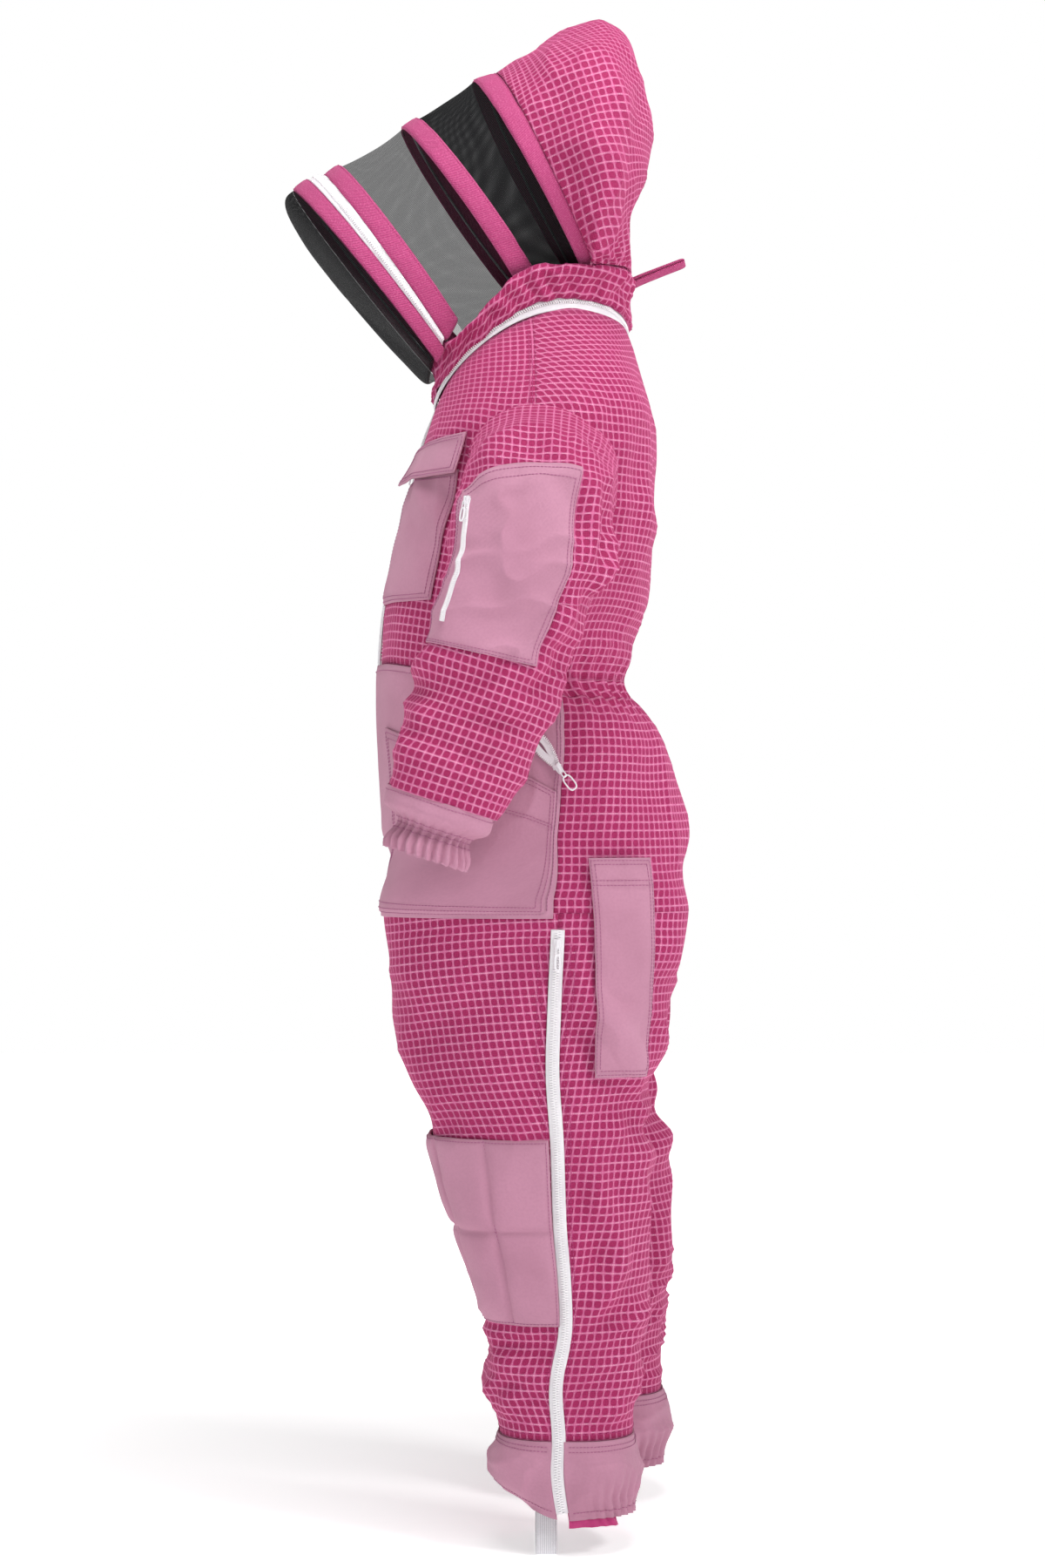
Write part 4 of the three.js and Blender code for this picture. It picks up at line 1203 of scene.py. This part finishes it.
# ---- hip pockets under the pass-through zips ----
for side, name in SIDES:
    def hip_pocket(u, v, s=side):
        top = np.interp(mix(34, 96, u), (34, 60, 87, 100), (905, 880, 848, 827))
        height = mix(701, top, v)
        return torso(s * mix(34, side_seam(height) - 1.2, u), height)

    patch(f"hip_pocket_{name}", hip_pocket, 80, 44, 4.6, side, "garment", hip_folds, 2.0,
          [(.012, .02), (.03, .05)], thickness=COTTON, top_hem=0.3, stands_for=[])

# ---- the long zips ----
front_surface = torso_patch(-3, 3, 722, 1309)
count = np.linspace(0, 1, 160)
run = run_of(front_surface, count * 0 + .5, count, 1.4)
tape_strip("front_zip", run, 17.0, TAPE, "garment", "zip_chain", ["front_zip"])
zip_teeth("front_zip_teeth", run, 0.9, 2.6, 3.6, 1.1, 0.35, "garment")
for side, name in SIDES:
    surface = leg_surface(side, -8, 8, 50, 684)

    place, normal = run_of(surface, count * 0 + .5, count, 1.0, side)
    middle = np.full((1, len(place)), .5)
    folds = leg_folds(side)(place[None], middle, middle)[0]
    run = place + normal * (folds * smoothstep(place[:, 2], 128, 160))[:, None], normal
    tape_strip(f"leg_zip_{name}", run, 15.0, TAPE, "garment", "zip_chain", [f"leg_zip_{name}"])
    teeth_run = zip_teeth(f"leg_zip_{name}_teeth", run, 1.0, 2.8, 4.4, 1.5, 0.4, "garment")
    spot, _, out, _ = along_run(teeth_run, 1.0)
    top = np.argmin(np.abs(spot[:, 2] - 668))
    zip_slider(f"leg_slider_{name}", spot[top] + out[top] * 0.6, out[top], (0, 0, 1),
               f"leg_slider_{name}_body", [f"leg_slider_{name}"])

    # the pass-through zip stands open between the slider and its top end
    lens_surface = torso_patch(90, 104, 850, 912, side)
    t = np.linspace(0, 1, 50)
    for tape, bow in (("front", -1), ("back", 1)):
        u = mix(3.2 / 14, 11.3 / 14, t) + bow * 0.17 * np.sin(np.pi * t ** 0.75)
        v = mix(53 / 62, 8 / 62, t) + bow * 0.06 * np.sin(np.pi * t)
        run = run_of(lens_surface, u, v, 3.4, side)
        tape_strip(f"hip_zip_{tape}_{name}", run, 7.0, TAPE, "garment", "zip_chain",
                   [f"hip_zip_{name}"] if bow < 0 else [], shift=bow * side * 2.2)
        row = (run[0] + run[1] * 0.8, run[1])
        small_boxes(f"hip_zip_{tape}_{name}_teeth", tooth_row(row, 2.2, 3.0, -bow * side * 1.4, 0.25),
                    ZIP_WHITE, 0.3, "garment", "zip_chain")
    foot, face = run_of(lens_surface, np.array([11.3 / 14]), np.array([8 / 62]), 5.0, side)
    head = run_of(lens_surface, np.array([3.2 / 14]), np.array([53 / 62]), 5.0, side)[0]
    zip_slider(f"hip_slider_{name}", foot[0], face[0], head[0] - foot[0],
               f"hip_slider_{name}_body", [f"hip_slider_{name}"], ring=True)

foot, face = run_of(front_surface, np.array([.5]), np.array([(1232 - 722) / 587]), 2.6, 1)
zip_slider("front_slider", foot[0], face[0], (0, 0, 1), "front_slider_body", ["front_slider"])
place, normal = sleeve_zip_line(2.2)
zip_slider("sleeve_slider", place[1], normal[1], place[1] - place[14], "sleeve_slider_body",
           ["sleeve_slider"], size=0.85)

# ---- the zip round the neck: its lower half stays, its upper half lifts with the hood ----
around = np.linspace(0, 1, 200)


def neck_line(low, high, puff):
    """Tape surface round the neck, leaning out by puff at its lower edge."""
    def surface(u, v):
        angle = mix(7, 353, u)
        wide = mix(0.45, 1, smoothstep(-np.cos(np.radians(angle)), -0.7, 0.1))
        place = neck_ring(angle, 3.3 + (mix(low, high, v) - 3.3) * wide)
        fall = mix(puff[0], puff[1], v)
        place[..., 0] += fall * np.sin(np.radians(angle))
        place[..., 1] -= fall * np.cos(np.radians(angle)) * 0.6
        return place
    return surface


for label, body, low, high, puff in (("lower", "garment", -6.0, 2.6, (5.5, 3.6)),
                                     ("upper", "hood", 4.0, 9.5, (3.2, 1.5))):
    surface = neck_line(low, high, puff)
    panel(f"neck_zip_{label}", surface, 170, 4, ZIP_CLOTH, body)
    edge = 0.95 if label == "lower" else 0.05
    row = run_of(surface, around, around * 0 + edge, 0.9, 1)
    small_boxes(f"neck_zip_{label}_teeth", tooth_row(row, 2.6, 2.6, 0, 0.25 if label == "lower" else 0.75),
                ZIP_WHITE, 0.3, body, "zip_chain")

# ---- the zip between the front band and the nose band ----
for label, body, low, high, edge, phase in (("inner", "hood", -0.1, 0.5, 0.86, 0.25),
                                            ("outer", "veil_front", 0.5, 1.1, 0.14, 0.75)):
    surface = hood_strip("front_front", "zip_front", low, high)
    panel(f"veil_zip_{label}", surface, 150, 4, ZIP_CLOTH, body, lift=0.8, side=-1)
    row = run_of(surface, around, around * 0 + edge, 1.7, -1)
    small_boxes(f"veil_zip_{label}_teeth", tooth_row(row, 2.8, 4.2, 0, phase), ZIP_WHITE, 0.35,
                body, "zip_chain")

# ---- hoop wires, hanging loop and stirrups ----
def round_bar(name, path, radius, material, body, slot_name, replaced):
    """A round wire along a path."""
    ahead = unit(np.gradient(path, axis=0))
    first = unit(np.cross(ahead, path.mean(0) - path))
    second = np.cross(ahead, first)
    turn = np.radians(np.linspace(0, 360, 13))[None, :, None]
    grid = path[:, None] + radius * (np.cos(turn) * first[:, None] + np.sin(turn) * second[:, None])
    grid[:, -1] = grid[:, 0]
    obj = sheet_from_grid(name, grid, material, 0, -1, wrap=True)
    put(obj, body, slot_name, replaced)
    return obj


for part, back, front, body in BANDS:
    line_of_wire = hoop_point(back, front, 0.5, np.linspace(-132, 132, 120)[None])[0]
    centre = (line_of_wire[60] + line_of_wire[0] * 0.5 + line_of_wire[-1] * 0.5) / 2
    round_bar(f"hoop_{part}", mix(line_of_wire, centre, 0.035), 1.6, WIRE, body, "hoop_wire",
              [f"hoop_{part}"])


def strap(name, path, width, thickness, material, body, slot_name, replaced, across=(1, 0, 0)):
    """A flat strap along a path, its width along one direction."""
    offsets = np.linspace(-0.5, 0.5, 9)
    grid = np.stack([path + np.array(across, float) * (width * o) for o in offsets], 1)
    obj = sheet_from_grid(name, grid, material, thickness, 1)
    put(obj, body, slot_name, replaced)
    length = float(distances(path)[-1]) * MM
    return obj


def smooth_path(corners, count, rounds):
    """A path through corners, evenly spaced and rounded."""
    corners = np.array(corners, float)
    steps = distances(corners)
    stops = np.linspace(0, steps[-1], count)
    path = np.stack([np.interp(stops, steps, corners[:, k]) for k in range(3)], -1)
    for _ in range(rounds):
        path[1:-1] = (path[:-2] + 2 * path[1:-1] + path[2:]) / 4
    return path


strap("hanging_loop", smooth_path([(0, 158, 1416), (0, 176, 1424), (0, 205, 1435), (0, 226, 1443),
                                   (0, 229, 1440), (0, 224, 1437), (0, 203, 1429), (0, 176, 1418),
                                   (0, 158, 1409)], 90, 8),
      11, 1.4, TWILL, "hood", "twill_tape", ["hanging_loop"], across=(.85, -.18, .49))
for side, name in SIDES:
    y = 66 if side > 0 else 66 + STRIDE
    foot_path = smooth_path([(side * x, y, z) for x, z in (
        (166, 84), (170, 55), (176, 26), (177, 8), (171, 0), (119, 0), (67, 0), (61, 8), (62, 26),
        (68, 55), (72, 84))], 140, 10)
    foot_path[:, 2] = np.maximum(foot_path[:, 2], 0)
    strap(f"stirrup_{name}", foot_path, 23, 2, ELASTIC, "garment", "stirrup_elastic",
          [f"stirrup_{name}"], across=(0, -side, 0))


# ---- the magenta gusset below each leg zip ----
def on_hem(u, v):
    """Where the gusset lies on the hem cuff: just behind the zip, along the lower edge."""
    return mix(-0.002, 0.13, u), mix(-0.1, 0.1, v)


for side, name in SIDES:
    panel(f"hem_gusset_{name}", lambda u, v, s=side: hem_surface(s)(*on_hem(u, v)), 60, 10,
          (GUSSET, 1.2, "plain_cotton"), "garment", lambda w, u, v: hem_folds(w, *on_hem(u, v)) - 1.9,
          side=side, stands_for=[])

# ---- top-stitching along the seams ----
SEAMS = []
for side, name in SIDES:
    hip = hip_surface(side)
    SEAMS += [(f"front_{name}", "garment", side, THREAD_DEEP, torso_folds, front_half(side),
               [((.97, .02), (.97, .98)), ((.985, .02), (.985, .98)), ((.03, .02), (.03, .98))]),
              (f"hip_{name}", "garment", side, THREAD_PINK_SEAM_SHADED, lambda w, u, v: hip_folds(w, u, v) + 2.9, hip,
               [((.975, .03), (.975, .97)), ((.987, .03), (.987, .97)), ((.02, .035), (.975, .035)),
                ((.02, .018), (.975, .018)), ((.02, .975), (.97, .975))])]
    for part, start, end, edge in (("front", -176, -2.4, 1), ("back", 2.4, 184, 0)):
        near, far = (.985, .975) if edge else (.015, .025)
        SEAMS.append((f"leg_{part}_{name}", "garment", side, THREAD_DEEP, leg_folds(side),
                      leg_surface(side, start, end, HEM_SEAM, 702),
                      [((near, .01), (near, .94)), ((far, .01), (far, .94)), ((.01, .012), (.99, .012))]))
    SEAMS.append((f"hem_{name}", "garment", side, THREAD_PINK_SEAM_SHADED, hem_folds, hem_surface(side),
                  [((.01, .93), (.99, .93)), ((.01, .87), (.99, .87)), ((.01, .1), (.99, .1))]))
    SEAMS.append((f"cuff_{name}", f"forearm_{name}", side, THREAD_PINK_SEAM_SHADED, cuff_folds, cuff_surface(side),
                  [((0, .93), (1, .93)), ((0, .5), (1, .5)), ((0, .42), (1, .42)), ((0, .34), (1, .34))]))
for label, body, side, thread, follow, surface, lines in SEAMS:
    stitches(f"seam_{label}", [line(surface, p, q, 0.5, side, 240, follow) for p, q in lines],
             body, "plain_cotton", thread)
for part, back, front, body in BANDS:
    stitches(f"band_{part}_stitches",
             [line(hood_strip(back, front), (.005, v), (.995, v), 0.3, -1, 200, band_shape)
              for v in (.1, .9)], body, "twill_tape", THREAD_DEEP)
stitches("seam_collar", [line(collar, (0, v), (1, v), 0.4, 1, 500, collar_folds) for v in (.06, .93)],
         "hood", "plain_cotton", THREAD_DEEP)
for side, name in SIDES:
    knee = knee_surface(side)

    def knee_follow(where, u, v, s=side):
        return leg_folds(s)(where, u * 0 + .5, v * 0 + .5) * 0.45 + 2.6 + quilted(where, u, v)

    edges = [((c, .01), (c, .99)) for c in QUILT_COLUMNS[1:-1]] + [((.01, .505), (.99, .505))]
    edges += [((.012, .015), (.012, .985)), ((.988, .015), (.988, .985)), ((.01, .015), (.99, .015)),
              ((.01, .985), (.99, .985))]
    stitches(f"knee_patch_{name}_stitches", [line(knee, p, q, 0.4, side, 160, knee_follow)
                                             for p, q in edges], "garment", "plain_cotton")


# ---------------------------------------------------------------- room, camera and lights
def studio():
    bm = bmesh.new()
    bmesh.ops.create_grid(bm, x_segments=1, y_segments=1, size=6.0)
    floor_material, shader = new_material("pale matt floor", {
        "Roughness": 0.95, "Base Color": linear("#f6f6f6"), "Emission Color": linear("#ffffff")})
    # it glows more further out, so that it runs on into the white behind
    place = add_node(floor_material, "ShaderNodeTexCoord")
    reach = add_node(floor_material, "ShaderNodeVectorMath", {"operation": "LENGTH"}, {}, {0: (place, 3)})
    link(floor_material, ramp_between(floor_material, (reach, 1), 0.5, 1.8, 0.5, 0.95),
         shader, "Emission Strength")
    floor = finish_mesh("floor", bm, floor_material, smooth=False)

    world = bpy.data.worlds.new("studio")
    world.use_nodes = True
    background = world.node_tree.nodes["Background"]
    background.inputs["Color"].default_value = (1, 1, 1, 1)
    # bright round the horizon and softer above
    place = add_node(world, "ShaderNodeTexCoord")
    split = add_node(world, "ShaderNodeSeparateXYZ", {}, {}, {0: (place, 0)})
    height = math_node(world, "ABSOLUTE", (split, 2), None)
    strength = ramp_between(world, height, 0.26, 0.36, 1.0, 0.16)
    world.node_tree.links.new(strength[0].outputs[0], background.inputs["Strength"])
    bpy.context.scene.world = world

    for name, place, size, power in (("key", (1.9, 2.6, 3.2), 1.0, 62),
                                     ("fill", (3.0, -2.6, 2.2), 2.2, 8),
                                     ("top", (0.9, 0.1, 3.4), 1.4, 52)):
        light = bpy.data.lights.new(name, "AREA")
        light.size = size
        light.energy = power
        lamp = bpy.data.objects.new(name, light)
        lamp.location = place
        aim = Vector((0, 0, 0.9)) - Vector(place)
        lamp.rotation_euler = aim.to_track_quat("-Z", "Y").to_euler()
        bpy.context.scene.collection.objects.link(lamp)

    lens = bpy.data.cameras.new("camera")
    lens.lens = 70
    lens.sensor_width = 36
    camera = bpy.data.objects.new("camera", lens)
    camera.location = (3.5, 0.040, 0.842)
    camera.rotation_euler = Vector((-1, 0, 0)).to_track_quat("-Z", "Y").to_euler()
    bpy.context.scene.collection.objects.link(camera)
    bpy.context.scene.camera = camera


studio()
bpy.context.scene.view_settings.view_transform = "Standard"
